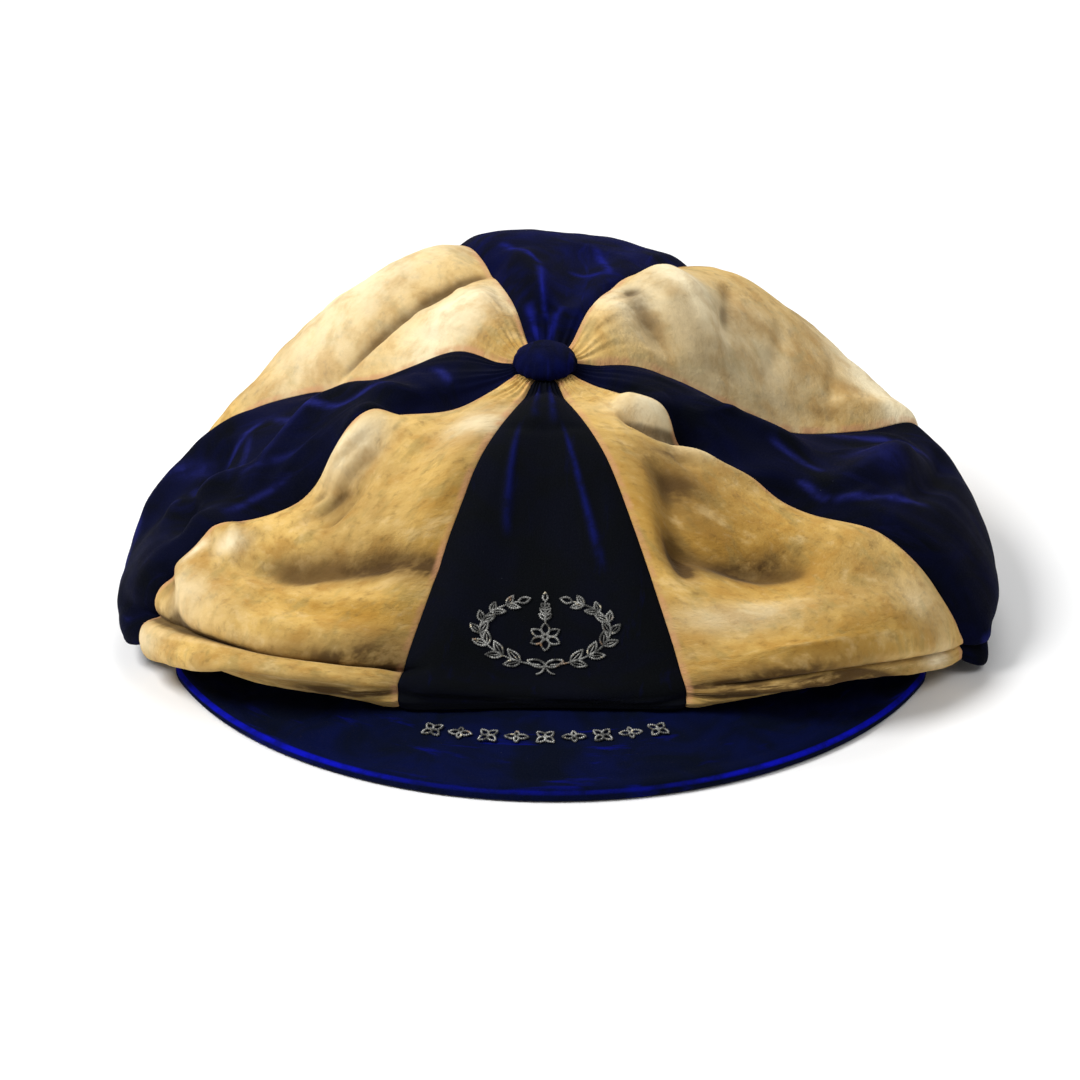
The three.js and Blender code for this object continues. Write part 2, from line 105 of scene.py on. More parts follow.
# The folds. Each runs from (az0, s0) to (az1, s1), bows sideways by bow, and stands proud by height, or is
# a crease where height is negative. width is its half width, skew makes one flank the steeper, and tuck is
# how far the cloth above a crease slides down over it.
FOLD_COLUMNS = ["what", "az0", "s0", "az1", "s1", "bow", "width", "height", "skew", "tuck"]
FOLDS = rows(FOLD_COLUMNS, [
    ["crease under the front right lobe", -20, 0.618, -78, 0.663, 2, 3.6, -7, 0.2, 3.2],
    ["front right lobe", -28, 0.568, -66, 0.6, 0, 9, 4],
    ["roll under it", -28, 0.681, -78, 0.721, 0, 6, 3],
    ["nick at the lobe's end", -69.5, 0.591, -57, 0.64, 0, 3, -3.5],
    ["hollow across the front right gore", -22, 0.462, -60, 0.525, 10.5, 6, -4.2],
    ["top of the front right lobe", -24, 0.52, -58, 0.565, 7, 5, 2.5],
    ["knob by the right gore", -71, 0.28, -59, 0.379, 0, 6, 5.5],
    ["hollow beside the knob", -58, 0.295, -55, 0.43, 0, 4.5, -3],
    ["shoulder of the front right lobe", -74, 0.525, -60, 0.485, 0, 6, 3.2],
    ["ridge up to the button", -40, 0.217, -30, 0.37, 0, 6, 2],
    ["crease under the front left lobe", 24, 0.672, 84, 0.725, -5, 3.8, -5, 0.2, 2.6],
    ["front left lobe", 28, 0.605, 66, 0.625, 0, 9, 4],
    ["roll under it", 30, 0.735, 84, 0.785, 0, 6, 2],
    ["crease under the ear", 44, 0.213, 72, 0.28, 1, 3.6, -4.5],
    ["ear", 50, 0.19, 74, 0.24, 0, 5, 4.5],
    ["ridge below the ear", 55, 0.271, 74, 0.37, 0, 5, 3],
    ["hollow by the front seam", 44, 0.298, 30, 0.487, 2, 4.5, -4.5],
    ["hollow across the front left gore", 29, 0.408, 56, 0.488, 0, 6.5, -4],
    ["swell below it", 27, 0.495, 60, 0.6, 0, 8, 3],
    ["long ridge on the right gore", -72, 0.46, -104, 0.334, 3, 5, 5],
    ["ridge below it", -86, 0.568, -80, 0.424, 0, 5, 4],
    ["hollow between them", -70, 0.55, -100, 0.478, 0, 5, -4],
    ["upper ridge on the right gore", -108, 0.343, -70, 0.24, 0, 4, 3],
    ["side ridge on the right gore", -110, 0.46, -84, 0.658, 0, 6, 4],
    ["crease across the back right gore", -106, 0.4, -172, 0.318, 7.5, 3.6, -2.5],
    ["swell below the crease", -160, 0.36, -118, 0.46, 0, 12, 4],
    ["swell above the crease", -155, 0.23, -122, 0.262, 0, 8, 3],
    ["hollow on the back left gore", 153, 0.28, 118, 0.235, 0, 6, -3],
    ["swell on the back left gore", 150, 0.334, 118, 0.316, 0, 8, 4],
    ["ridge by the left gore", 118, 0.478, 112, 0.622, 0, 6, 3],
    ["long ridge on the left gore", 72, 0.397, 100, 0.523, 0, 6, 5],
    ["upper ridge on the left gore", 84, 0.244, 88, 0.388, 0, 5, 3.5],
    ["hollow on the left gore", 78, 0.496, 106, 0.604, 0, 5, -4],
    ["side ridge on the left gore", 100, 0.37, 104, 0.55, 0, 6, 4],
    ["bulge by the foot of the left gore", 69.5, 0.66, 71, 0.8, 0, 7.5, 6],
    ["ridge on the back gore", -172, 0.352, 178, 0.181, 2, 5, 4],
    ["hollow on the back gore", 165, 0.19, 168, 0.37, 0, 6, -3],
])

# Fine wrinkles, on the cloth's face only.
WRINKLES = rows(FOLD_COLUMNS, [
    ["wrinkle under the knob", -62.5, 0.415, -61, 0.31, 0.6, 1.4, -1.1],
    ["second wrinkle beside it", -58.5, 0.44, -57, 0.325, -0.5, 1.3, -1.1],
    ["third wrinkle beside it", -54.5, 0.43, -53, 0.34, 0.6, 1.3, -0.8],
    ["pleat over the front right lobe", -67.4, 0.515, -61, 0.545, 0, 1.7, -1.2],
    ["second pleat", -67.2, 0.492, -60.5, 0.522, 0, 1.7, -1.3],
    ["third pleat", -67, 0.466, -60.5, 0.494, 0, 1.7, -1.2],
    ["floor of the front right hollow", -22, 0.468, -54, 0.51, 8, 2.6, -1.2],
    ["press mark on the lobe", -66, 0.5, -50, 0.545, 1.5, 1.8, 0.8],
    ["wrinkle low on the lobe", -30, 0.585, -52, 0.6, 1, 1.5, -0.7],
    ["line down the front gore", -13.5, 0.27, -10.5, 0.42, 0.5, 1.3, 0.7],
    ["line down the front gore's other side", 10.8, 0.28, 14, 0.46, -0.5, 1.3, 0.7],
    ["line from the button", -8.4, 0.1, -5.6, 0.27, 0.2, 0.9, 0.5],
    ["second line from the button", 7, 0.1, 6, 0.26, 0.2, 0.9, 0.5],
    ["break across the front gore", -24, 0.259, 23, 0.263, 0.8, 2.2, -0.7],
    ["wrinkle under the ear", 48, 0.3, 58, 0.31, 0, 1.6, -0.9],
    ["deep mark by the front left seam", 34, 0.39, 29.5, 0.5, 0, 2, -1.5],
    ["floor of the front left hollow", 33, 0.42, 53, 0.488, 0.5, 2.8, -1.2],
    ["worn line above the crease", 34, 0.6, 62, 0.648, 0.5, 2, 0.8],
    ["crease down the back left gore", 138, 0.43, 124, 0.33, 0.8, 2.2, -1.4],
    ["second crease beside it", 130, 0.47, 120, 0.38, -0.5, 2, -0.9],
    ["third crease beside it", 126, 0.54, 116, 0.46, 0.5, 2.2, -1],
    ["wrinkle by the back seam", 146, 0.26, 136, 0.3, 0, 1.8, -0.9],
    ["sharp fold on the back right gore", -114, 0.375, -163, 0.32, 6.5, 1.4, -1.1],
    ["wrinkle above it", -150, 0.24, -128, 0.262, 0.5, 1.6, -0.7],
    ["arc on the right gore", -80, 0.345, -72, 0.42, 1.2, 1.6, 0.9],
    ["press mark on the right gore", -94, 0.52, -82, 0.5, 0.8, 2.2, 0.9],
    ["ridge low on the right gore", -106, 0.53, -96, 0.64, 0.8, 2, 0.8],
    ["arc on the left gore", 71, 0.43, 78, 0.46, 0.8, 1.5, 0.9],
    ["second arc on the left gore", 73, 0.468, 86, 0.505, 0.8, 1.5, 0.8],
    ["third arc on the left gore", 90, 0.4, 97, 0.48, 0.8, 1.8, 0.8],
    ["wrinkle high on the left gore", 76, 0.25, 90, 0.3, 0.6, 1.5, 0.7],
    ["wrinkle high on the right gore", -76, 0.22, -96, 0.25, 0.6, 1.5, 0.7],
    ["arc on the back gore", -173, 0.19, 177, 0.17, 0.8, 1.5, 0.8],
    ["line down the back gore", -178, 0.2, -179, 0.31, 0.6, 1.5, 0.8],
    ["crease low on the back gore", -172, 0.62, 166, 0.66, 1, 3, -2],
    ["crease low on the back left gore", 148, 0.67, 120, 0.63, 1, 3, -2],
    ["crease low on the back right gore", -158, 0.65, -122, 0.68, 1, 3, -2],
    ["slack fold on the back left gore", 146, 0.55, 128, 0.6, 1, 5, 1.6],
    ["slack fold on the back right gore", -150, 0.56, -130, 0.52, 1, 5, 1.6],
])

# Lines of painted sheen: thin blue highlights on the velvet where its ridges catch the light, every row here,
# whatever its name. height is how strong a line is, from 0 to 1.
PAINTED_SHEEN_LINES = rows(FOLD_COLUMNS, [
    ["along the right gore's long ridge", -104, 0.44, -80, 0.25, 1, 1.1, 0.9],
    ["down from its end", -103, 0.44, -92, 0.49, 0.6, 1.3, 0.8],
    ["across below it", -79, 0.46, -99, 0.453, 1, 1, 0.5],
    ["by the front right gore", -70, 0.49, -73.5, 0.39, 0.6, 1.1, 0.5],
    ["beside that", -79, 0.45, -79.5, 0.36, 0.8, 1.1, 0.35],
    ["worn place low on the right gore", -98, 0.575, -94, 0.5, 1, 3, 0.5],
    ["second worn place beside it", -90, 0.53, -84, 0.5, 0.5, 1.6, 0.4],
    ["foot of the right gore", -92, 0.6, -80, 0.67, 0, 2, 0.7],
    ["high on the right gore", -78, 0.2, -98, 0.225, 0.8, 1.2, 0.7],
    ["arc by the front left gore", 74, 0.375, 71, 0.42, 0.4, 1.1, 0.9],
    ["arc on from it", 71, 0.42, 81, 0.53, 0.8, 1.3, 1],
    ["high on the left gore", 83, 0.33, 79, 0.4, 0.4, 1.2, 0.8],
    ["broad worn place on the left gore", 92, 0.43, 84, 0.49, 0, 6, 0.4],
    ["side of the left gore", 100, 0.4, 101, 0.57, 0.6, 1.5, 0.8],
    ["under the back left gore", 108, 0.3, 96, 0.36, 0.6, 1.2, 0.6],
    ["down the back gore", -168, 0.37, -179, 0.28, 0.8, 1.3, 0.9],
    ["on from it to the button", -179, 0.28, 178.5, 0.16, 0.8, 1.2, 0.9],
    ["beside it by the button", -170, 0.21, -174, 0.12, 0.4, 1, 0.7],
    ["by the back left seam", 168, 0.38, 156, 0.29, 0.6, 1.2, 0.7],
    ["across the back gore", 173, 0.29, 152, 0.3, 0.8, 1, 0.5],
    ["near the button", 168, 0.2, 175, 0.12, 0.4, 1, 0.6],
    ["low on the back gore", 166, 0.55, -172, 0.59, 1, 2, 0.5],
    ["down the front gore", -13.5, 0.25, -10.5, 0.42, 0.5, 0.9, 0.7],
    ["down the front gore's other side", 9, 0.25, 14, 0.47, -0.5, 0.8, 0.9],
    ["from the button", -9, 0.09, -5.6, 0.25, 0.2, 0.8, 0.6],
    ["second from the button", 7, 0.09, 5, 0.26, 0.2, 0.8, 0.6],
])

# Patches of the gold cloth: where they lie, how far they reach across and down the gore, and their strength.
PATCH_COLUMNS = ["what", "az", "s", "wide", "tall", "share"]
# These patches are partly real stains and partly painted shade: the dark ones in the creases under the lobes,
# at the lobes' feet and on the strips below them stand for shade.
STAINS_AND_SHADE = rows(PATCH_COLUMNS, [
    ["front right hollow", -41, 0.455, 14, 4.5, 0.85],
    ["front right hollow by the seam", -28, 0.462, 10, 5, 1],
    ["end of the front right hollow", -51, 0.478, 7, 4, 0.6],
    ["low by the front right seam", -29, 0.58, 11, 7, 0.6],
    ["nick on the front right gore", -67, 0.475, 2.5, 3, 0.8],
    ["beside the knob", -57, 0.37, 4, 12, 0.3],
    ["front right strip", -32, 0.79, 17, 14, 1.3],
    ["all of the front right strip", -44, 0.74, 26, 12, 0.35],
    ["foot of the front right lobe", -33, 0.605, 20, 4.5, 1],
    ["crease by the front right seam", -30, 0.626, 16, 2.6, 1.5],
    ["crease under the front right lobe", -50, 0.642, 18, 1.8, 1.2],
    ["under the ear", 49.5, 0.287, 5, 3.2, 0.9],
    ["below that", 46, 0.33, 7, 7, 0.6],
    ["by the front left seam", 31.5, 0.45, 3, 9, 0.95],
    ["front left hollow", 44, 0.452, 17, 5, 1],
    ["high by the front left seam", 39, 0.33, 6, 14, 0.5],
    ["middle of the front left gore", 45, 0.39, 15, 12, 0.45],
    ["middle of the front right gore", -42, 0.415, 14, 8, 0.35],
    ["front left strip", 31, 0.735, 16, 12, 1.5],
    ["foot of the front left lobe", 38, 0.65, 22, 5, 0.9],
    ["end of the front left lobe", 58, 0.565, 12, 12, 0.25],
    ["crease by the front left seam", 31, 0.672, 14, 2.6, 1.5],
    ["front left strip's middle", 45.5, 0.74, 15, 12, 1.5],
    ["front left strip's lower edge", 46, 0.775, 24, 7, 1.2],
    ["back left hollow", 129, 0.3, 8, 2.5, 0.4],
    ["down the back left gore", 131, 0.378, 2.2, 8, 0.2],
    ["low on the back left gore", 120, 0.51, 5, 6, 0.35],
    ["second streak low on it", 116, 0.46, 2.4, 8, 0.4],
    ["in the back right crease", -150, 0.311, 12, 1.6, 0.2],
])
RICH = rows(PATCH_COLUMNS, [
    ["front left gore", 44, 0.42, 34, 26, 1],
    ["low on the front left gore", 44, 0.63, 34, 9, 0.8],
    ["foot of the back left gore", 120, 0.49, 16, 10, 1.2],
    ["by the back left gore's streak", 130, 0.38, 5, 14, 0.5],
    ["lower back left gore", 126, 0.43, 22, 14, 0.5],
    ["by the button, back left", 131, 0.235, 5, 8, 0.6],
    ["top of the front right lobe", -37, 0.535, 24, 7, 0.8],
    ["front right gore by the front seam", -28, 0.42, 8, 22, 0.7],
    ["front right lobe", -45, 0.61, 26, 9, 0.2],
    ["in the back right crease by the back seam", -154, 0.312, 14, 2.2, 1],
    ["middle of the back right crease", -136, 0.322, 12, 2.6, 1],
    ["lower back right crease", -122, 0.348, 10, 3, 1],
    ["foot of the back right crease", -115.5, 0.4, 6, 5, 0.9],
    ["under the button, back right", -128, 0.17, 12, 9, 0.6],
    ["by the back right seam", -154, 0.22, 8, 12, 0.6],
])
# These patches are partly real fading and partly painted light: cream on the tops of the knob, ridges, ear
# and lobes, and over the back left gore, which the lamps light less.
FADED_AND_PAINTED_LIGHT = rows(PATCH_COLUMNS, [
    ["upper back right gore", -132, 0.25, 26, 14, 0.9],
    ["lower back right gore", -138, 0.43, 44, 20, 0.75],
    ["knob by the right seam", -62, 0.335, 5, 9, 0.8],
    ["ridge up to the button", -34, 0.25, 7, 9, 0.6],
    ["shoulder over the front right hollow", -62, 0.507, 3.2, 5, 0.8],
    ["second spot beside it", -66, 0.545, 2.6, 5, 0.8],
    ["end of the front right lobe", -60, 0.6, 12, 7, 0.4],
    ["end of the front right strip", -66, 0.68, 12, 5, 0.5],
    ["along the upper front left seam", 62, 0.26, 6, 10, 0.7],
    ["ear", 56, 0.215, 7, 6, 0.7],
    ["upper lobe of the front left gore", 36, 0.54, 14, 5, 0.5],
    ["end of the front left lobe", 62, 0.6, 8, 10, 0.3],
    ["end of the front left strip", 62, 0.715, 5, 9, 1.2],
    ["edge of the back left gore", 118, 0.6, 24, 13, 1.8],
    ["top of the back left gore", 138, 0.33, 10, 5, 0.9],
    ["upper back left gore", 141, 0.25, 8, 10, 0.7],
    ["all of the back left gore", 124, 0.36, 26, 34, 0.5],
])

GORES = rows(["name", "node", "from", "to", "cloth"], [
    ["cloth_front", "panel_front", -25, 24, "front"],
    ["cloth_front_left", "panel_front_left", 24, 67.5, "gold"],
    ["cloth_left", "panel_left", 67.5, 112.5, "side"],
    ["cloth_back_left", "panel_back_left", 112.5, 152, "gold"],
    ["cloth_back", "panel_back", 152, 198, "back"],
    ["cloth_back_right", "panel_back_right", 198, 247.5, "gold"],
    ["cloth_right", "panel_right", 247.5, 292.5, "side"],
    ["cloth_front_right", "panel_front_right", 292.5, 335, "gold"],
])
GORE_GRID = {"columns": 96, "rows": 232, "edge_share": 0.62}


# ---- Small helpers ----
def wrap(az):
    return (az + 180.0) % 360.0 - 180.0


def clamp01(t):
    return np.clip(t, 0.0, 1.0)


def smooth(t):
    return clamp01(t) ** 2 * (3 - 2 * clamp01(t))


def mix(a, b, t):
    return a + (b - a) * t


def polar(az, radius, z):
    """Points at az, radius and height z, in millimetres about the button's axis."""
    angle = np.radians(az)
    x = radius * np.sin(angle)
    return np.stack(np.broadcast_arrays(x, -radius * np.cos(angle), z), -1)


def cubic(a, b, slope_a, slope_b, step, t):
    """A cubic between a and b over a step, with slopes at its ends."""
    t2 = t * t
    t3 = t2 * t
    return ((2 * t3 - 3 * t2 + 1) * a + (t3 - 2 * t2 + t) * step * slope_a
            + (3 * t2 - 2 * t3) * b + (t3 - t2) * step * slope_b)


def unit(vectors):
    return vectors / np.maximum(np.linalg.norm(vectors, axis=-1, keepdims=True), 1e-9)


def around(column, az):
    """A column of SECTIONS at any az, by a smooth curve that closes on itself."""
    at = np.array([row["az"] for row in SECTIONS], float)
    value = np.array([row[column] for row in SECTIONS], float)
    before = np.roll(at, 1)
    before[0] -= 360
    after = np.roll(at, -1)
    after[-1] += 360
    slope = (np.roll(value, -1) - np.roll(value, 1)) / (after - before)
    x = wrap(np.asarray(az, float))
    k = np.searchsorted(at, x, side="right") - 1
    ahead = (k + 1) % len(at)
    step = after[k] - at[k]
    return cubic(value[k], value[ahead], slope[k], slope[ahead], step, (x - at[k]) / step)


def blobs(u, v, size, seed):
    """Smooth random values from -1 to 1 over the cloth, in blobs about size millimetres across."""
    cells = 97
    grid = np.random.default_rng(seed).uniform(-1, 1, (cells, cells))
    x = u / size + 0.37 * seed
    y = v / size + 0.61 * seed
    i = np.floor(x).astype(int)
    j = np.floor(y).astype(int)
    fx = smooth(x - i)
    fy = smooth(y - j)
    low = mix(grid[i % cells, j % cells], grid[(i + 1) % cells, j % cells], fx)
    high = mix(grid[i % cells, (j + 1) % cells], grid[(i + 1) % cells, (j + 1) % cells], fx)
    return mix(low, high, fy)


# ---- The head opening and the peak's surface ----
def head_radius(az):
    """How far the head opening's oval lies from the button's axis."""
    dx = np.sin(np.radians(az))
    dy = -np.cos(np.radians(az))
    a = (dx / HEAD["half_width"]) ** 2 + (dy / HEAD["half_length"]) ** 2
    b = -2 * dy * HEAD["centre_y"] / HEAD["half_length"] ** 2
    c = (HEAD["centre_y"] / HEAD["half_length"]) ** 2 - 1
    return (-b + np.sqrt(b * b - 4 * a * c)) / (2 * a)


def front_share(az):
    """1 over the peak, falling to 0 at the sides."""
    return 1 - smooth((np.abs(wrap(az)) - FRONT["full"]) / FRONT["fade"])


def peak_root(az):
    return head_radius(az) + GAP


def peak_edge(az):
    """The peak's outer edge: a circle beside the button's axis, drawn in to the root at both tips."""
    along = PEAK["centre_x"] * np.sin(np.radians(az)) - PEAK["centre_y"] * np.cos(np.radians(az))
    off = math.hypot(PEAK["centre_x"], PEAK["centre_y"])
    circle = along + np.sqrt(PEAK["radius"] ** 2 - off ** 2 + along ** 2)
    span = PEAK_SPAN["tip"] - PEAK_SPAN["taper_from"]
    taper = clamp01((np.abs(wrap(az)) - PEAK_SPAN["taper_from"]) / span)
    return mix(circle, peak_root(az) + PEAK_SPAN["tip_width"], taper ** PEAK_SPAN["taper"])


def peak_top(az, radius):
    root = peak_root(az)
    share = clamp01((radius - root) / (peak_edge(az) - root))
    root_height = mix(PEAK["tip_height"], PEAK["root"], front_share(az))
    return mix(root_height, PEAK["thickness"], share ** PEAK["droop"])


def rest_height(az, radius):
    """The height at which the crown's underside lies: over the peak, or just above the surface below."""
    over_peak = 1 - smooth((np.abs(wrap(az)) - PEAK_SPAN["tip"]) / UNDER["blend"])
    return mix(UNDER["floor"], peak_top(az, radius) + UNDER["clear"], over_peak)


# ---- The crown ----
# Where the last stations lie between the belly and the rim: shares of the way in, and of the way down.
LOW = {"in": 0.08, "full_in": 0.055, "down": 0.34, "full_down": 0.3, "steep": 0.36}
MIDDLE = {"out": 0.62, "full_out": 0.68, "lift": 0.4, "sag": 0.05, "steep": 0.7}
FULL = {"from": 45, "over": 22}
# Where the crown's lower edge hangs higher above the peak.
RAISED = rows(["az", "wide", "height"], [
    [-54, 13, 5.5],
    [50, 11, 4.8],
])


def stations(az):
    """Eleven stations of the meridian at az, from the eye to the head opening, as radii and heights."""
    reach = around("reach", az)
    belly = around("z_belly", az)
    slope = -math.tan(math.radians(APEX["tilt"])) * np.cos(np.radians(az))
    steep = 1 - smooth((np.abs(wrap(az)) - STEEP["from"]) / STEEP["over"])
    full = smooth((np.abs(wrap(az)) - FULL["from"]) / FULL["over"])
    rim = mix(head_radius(az) + HEM, reach, steep)
    low = reach - mix(LOW["in"], LOW["full_in"], full) * (reach - rim)
    middle = rim + mix(MIDDLE["out"], MIDDLE["full_out"], full) * (reach - rim)
    rim_height = rest_height(az, rim)
    low_rest = rest_height(az, low)
    low_height = mix(low_rest, belly, mix(LOW["down"], LOW["full_down"], full))
    middle_height = rest_height(az, middle) + MIDDLE["lift"] + MIDDLE["sag"] * (belly - low_rest)
    low_height = mix(low_height, mix(belly, rim_height, LOW["steep"]), steep)
    middle_height = mix(middle_height, mix(belly, rim_height, MIDDLE["steep"]), steep)
    raised = sum(row["height"] * np.exp(-((wrap(az) - row["az"]) / row["wide"]) ** 2) for row in RAISED)
    low_height = np.minimum(low_height + raised, belly - 1)
    middle_height = np.minimum(middle_height + raised, belly - 2)
    radii = [APEX["eye"] + 0 * reach, APEX["seat"] + 0 * reach]
    heights = [APEX["height"] + APEX["eye"] * slope, APEX["height"] + APEX["seat"] * slope]
    for column, share in SHARES.items():
        radii.append(share * reach)
        heights.append(around(column, az))
    radii += [reach, low, middle, rim]
    heights += [belly, low_height, middle_height, rim_height]
    return np.stack([np.stack(radii), np.stack(heights)], 1)


def crown_base(az, s):
    """Points of the crown before its seams and folds, on a smooth curve through the stations."""
    az = np.asarray(az, float)
    s = np.asarray(s, float)
    at = stations(az)
    last = len(at) - 1
    chord = np.linalg.norm(np.diff(at, axis=0), axis=1)[:, None]
    slope = np.diff(at, axis=0) / chord
    tangent = np.empty_like(at)
    tangent[0] = slope[0]
    tangent[last] = slope[-1]
    tangent[1:last] = (chord[1:] * slope[:-1] + chord[:-1] * slope[1:]) / (chord[1:] + chord[:-1])
    place = clamp01(s) * last
    k = np.minimum(np.floor(place).astype(int), last - 1)
    shape = np.broadcast_shapes(az.shape, s.shape)
    k = np.broadcast_to(k, shape)

    def pick(values, index):
        wide = np.broadcast_to(values, values.shape[:2] + shape)
        index = np.broadcast_to(index, (1, values.shape[1]) + shape)
        return np.take_along_axis(wide, index, 0)[0]

    step = pick(chord, k)
    point = cubic(pick(at, k), pick(at, k + 1), pick(tangent, k), pick(tangent, k + 1), step, place - k)
    return polar(az, point[0], point[1])


def crown_normal(az, s):
    side = 0.05
    down = 0.002
    across = crown_base(az + side, s) - crown_base(az - side, s)
    along = crown_base(az, np.minimum(s + down, 1)) - crown_base(az, np.maximum(s - down, 0))
    return unit(np.cross(along, across))


def fold_place(fold, az, s):
    """Where (az, s) lies by a fold: its share of the way along, and how far it is beside and below it."""
    degree = math.radians(1) * fold["radius"]
    x = wrap(az - fold["az0"]) * degree
    y = (s - fold["s0"]) * DOWN
    dx = wrap(fold["az1"] - fold["az0"]) * degree
    dy = (fold["s1"] - fold["s0"]) * DOWN
    length = math.hypot(dx, dy)
    t = (x * dx + y * dy) / length ** 2
    beside = (dx * y - dy * x) / length - fold["bow"] * 4 * t * (1 - t)
    share = clamp01(1 - (2 * t - 1) ** 4) ** 1.5
    return share, beside, beside * math.copysign(1, dx)


def fold_lift(fold, az, s):
    share, beside, _ = fold_place(fold, az, s)
    width = fold["width"] * np.where(beside > 0, 1 + fold["skew"], 1 - fold["skew"])
    return fold["height"] * share * np.exp(-(beside / width) ** 2)


def fold_tuck(fold, az, s):
    """How far the cloth slides down over a crease: most a fold's width above it, and not at all below."""
    share, _, below = fold_place(fold, az, s)
    return fold["tuck"] * share * np.exp(-((below + fold["width"]) / fold["width"]) ** 2)


for fold in FOLDS + WRINKLES + PAINTED_SHEEN_LINES:
    ends = [crown_base(fold["az0"], fold["s0"]), crown_base(fold["az1"], fold["s1"])]
    fold["radius"] = (np.hypot(*ends[0][:2]) + np.hypot(*ends[1][:2])) / 2


def relief_share(s):
    """1 over most of the crown, and 0 under the button and at the head opening."""
    above = smooth((s - RELIEF["start"]) / (RELIEF["full"] - RELIEF["start"]))
    return above * (1 - smooth((s - RELIEF["fade_from"]) / RELIEF["fade_over"]))


def relief(az, s, base):
    radius = np.hypot(base[..., 0], base[..., 1])
    lift = 0 * radius
    for gore in GORES:
        beside = np.radians(wrap(az - gore["from"])) * radius
        lift = lift - SEAM["depth"] * np.exp(-(beside / SEAM["width"]) ** 2)
    for fold in FOLDS:
        lift = lift + fold_lift(fold, az, s)
    return lift * relief_share(s)


EDGE_ROLL = {"width": 1.1, "depth": 0.9}
PLEATS = {"count": 52, "height": 0.35, "from": 0.05, "rise": 0.03, "fall": 0.2, "wander": 2.2}
SLACK_FROM = 7  # how far from a seam the cloth hangs freely
LUMPS = {
    "front": [[26, 0.3], [11, 0.12]],
    "side": [[26, 0.5], [11, 0.25]],
    "back": [[26, 0.5], [11, 0.25]],
    "gold": [[24, 0.55], [10, 0.3], [4.5, 0.12]],
}


def face_detail(az, s, base, gore):
    """The cloth's fine relief: wrinkles, the roll at each seam, gathers under the button and slack lumps."""
    radius = np.hypot(base[..., 0], base[..., 1])
    lift = 0 * radius
    for wrinkle in WRINKLES:
        lift = lift + fold_lift(wrinkle, az, s)
    nearest = np.minimum(np.abs(az - gore["from"]), np.abs(az - gore["to"]))
    beside = np.radians(nearest) * radius
    lift = lift - EDGE_ROLL["depth"] * np.exp(-beside / EDGE_ROLL["width"])
    below = s - PLEATS["from"]
    gathered = smooth(below / PLEATS["rise"]) * (1 - smooth(below / PLEATS["fall"]))
    ripple = np.cos(np.radians(az) * PLEATS["count"] + PLEATS["wander"] * blobs(az * 0.9, s * 60, 9, 5))
    lift = lift + PLEATS["height"] * gathered * ripple
    across = np.radians(az - gore["from"]) * radius
    free = relief_share(s) * smooth(beside / SLACK_FROM)
    for number, (size, height) in enumerate(LUMPS[gore["cloth"]]):
        lift = lift + height * blobs(across + 90 * az / 45, s * DOWN, size, number + 3) * free
    return lift


def wall_depth(az, s, base):
    """The wall along the normal: thick enough to stay a full wall where a fold is steep."""
    ahead = 0.012
    most = 1.6
    rise = relief(az, np.minimum(s + ahead, 1), base) - relief(az, np.maximum(s - ahead, 0), base)
    return CLOTH * np.minimum(np.hypot(1, rise / (2 * DOWN * ahead)), most)


# ---- Frame: from millimetres about the button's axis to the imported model's metres ----
def axis_place():
    """The button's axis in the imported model's frame, a little to the front of the headband's middle."""
    low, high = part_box("headband")
    return np.array([(low[0] + high[0]) / 2, (low[1] + high[1]) / 2 - HEAD["centre_y"] * MM, 0.0])


AXIS = axis_place()


def metres(points):
    return np.asarray(points, float) * MM + AXIS


# ---- Mesh building ----
def add(name, data):
    """An object with the given data, in the scene."""
    thing = bpy.data.objects.new(name, data)
    bpy.context.scene.collection.objects.link(thing)
    return thing


def new_piece(name, points, faces):
    """A smooth mesh object from points in millimetres."""
    mesh = bpy.data.meshes.new(name)
    mesh.from_pydata(metres(points).tolist(), [], faces)
    mesh.polygons.foreach_set("use_smooth", [True] * len(mesh.polygons))
    mesh.update()
    return add(name, mesh)


def grid_faces(columns, down, start=0, flip=False):
    """Quads over a grid of points listed column by column."""
    i, j = np.meshgrid(np.arange(columns - 1), np.arange(down - 1), indexing="ij")
    a = (start + i * down + j).ravel()
    quads = np.stack([a, a + 1, a + down + 1, a + down], -1)
    if flip:
        quads = quads[:, ::-1]
    return quads.tolist()


def edge_faces(columns, down, back):
    """Quads that close a wall along its four edges, between the face's points and those from back on."""
    quads = []
    for i in range(columns - 1):
        a, b = i * down, (i + 1) * down
        quads.append([a, b, back + b, back + a])
        a, b = a + down - 1, b + down - 1
        quads.append([a, back + a, back + b, b])
    last = (columns - 1) * down
    for j in range(down - 1):
        quads.append([j, back + j, back + j + 1, j + 1])
        quads.append([last + j, last + j + 1, back + last + j + 1, back + last + j])
    return quads


def put_numbers(piece, name, values):
    """A number at each of the piece's points, which its material reads by name."""
    layer = piece.data.attributes.new(name, "FLOAT", "POINT")
    layer.data.foreach_set("value", np.asarray(values, np.float32).ravel())


def put_cloth_places(piece, places):
    """The cloth's own coordinates, in metres of flat cloth, as the piece's UV map."""
    layer = piece.data.uv_layers.new(name="cloth")
    corner = np.empty(len(piece.data.loops), np.int32)
    piece.data.loops.foreach_get("vertex_index", corner)
    flat = np.asarray(places, np.float32).reshape(-1, 2) * MM
    layer.data.foreach_set("uv", flat[corner].ravel())


def box_blur(values, reach):
    """The mean over a window of reach steps each way, along both axes, with the edges held."""
    for axis, count in enumerate(reach):
        pad = [(0, 0)] * values.ndim
        pad[axis] = (count + 1, count)
        total = np.cumsum(np.pad(values, pad, mode="edge"), axis=axis)
        size = values.shape[axis]
        window = 2 * count + 1
        high = np.take(total, range(window, window + size), axis=axis)
        low = np.take(total, range(size), axis=axis)
        values = (high - low) / window
    return values


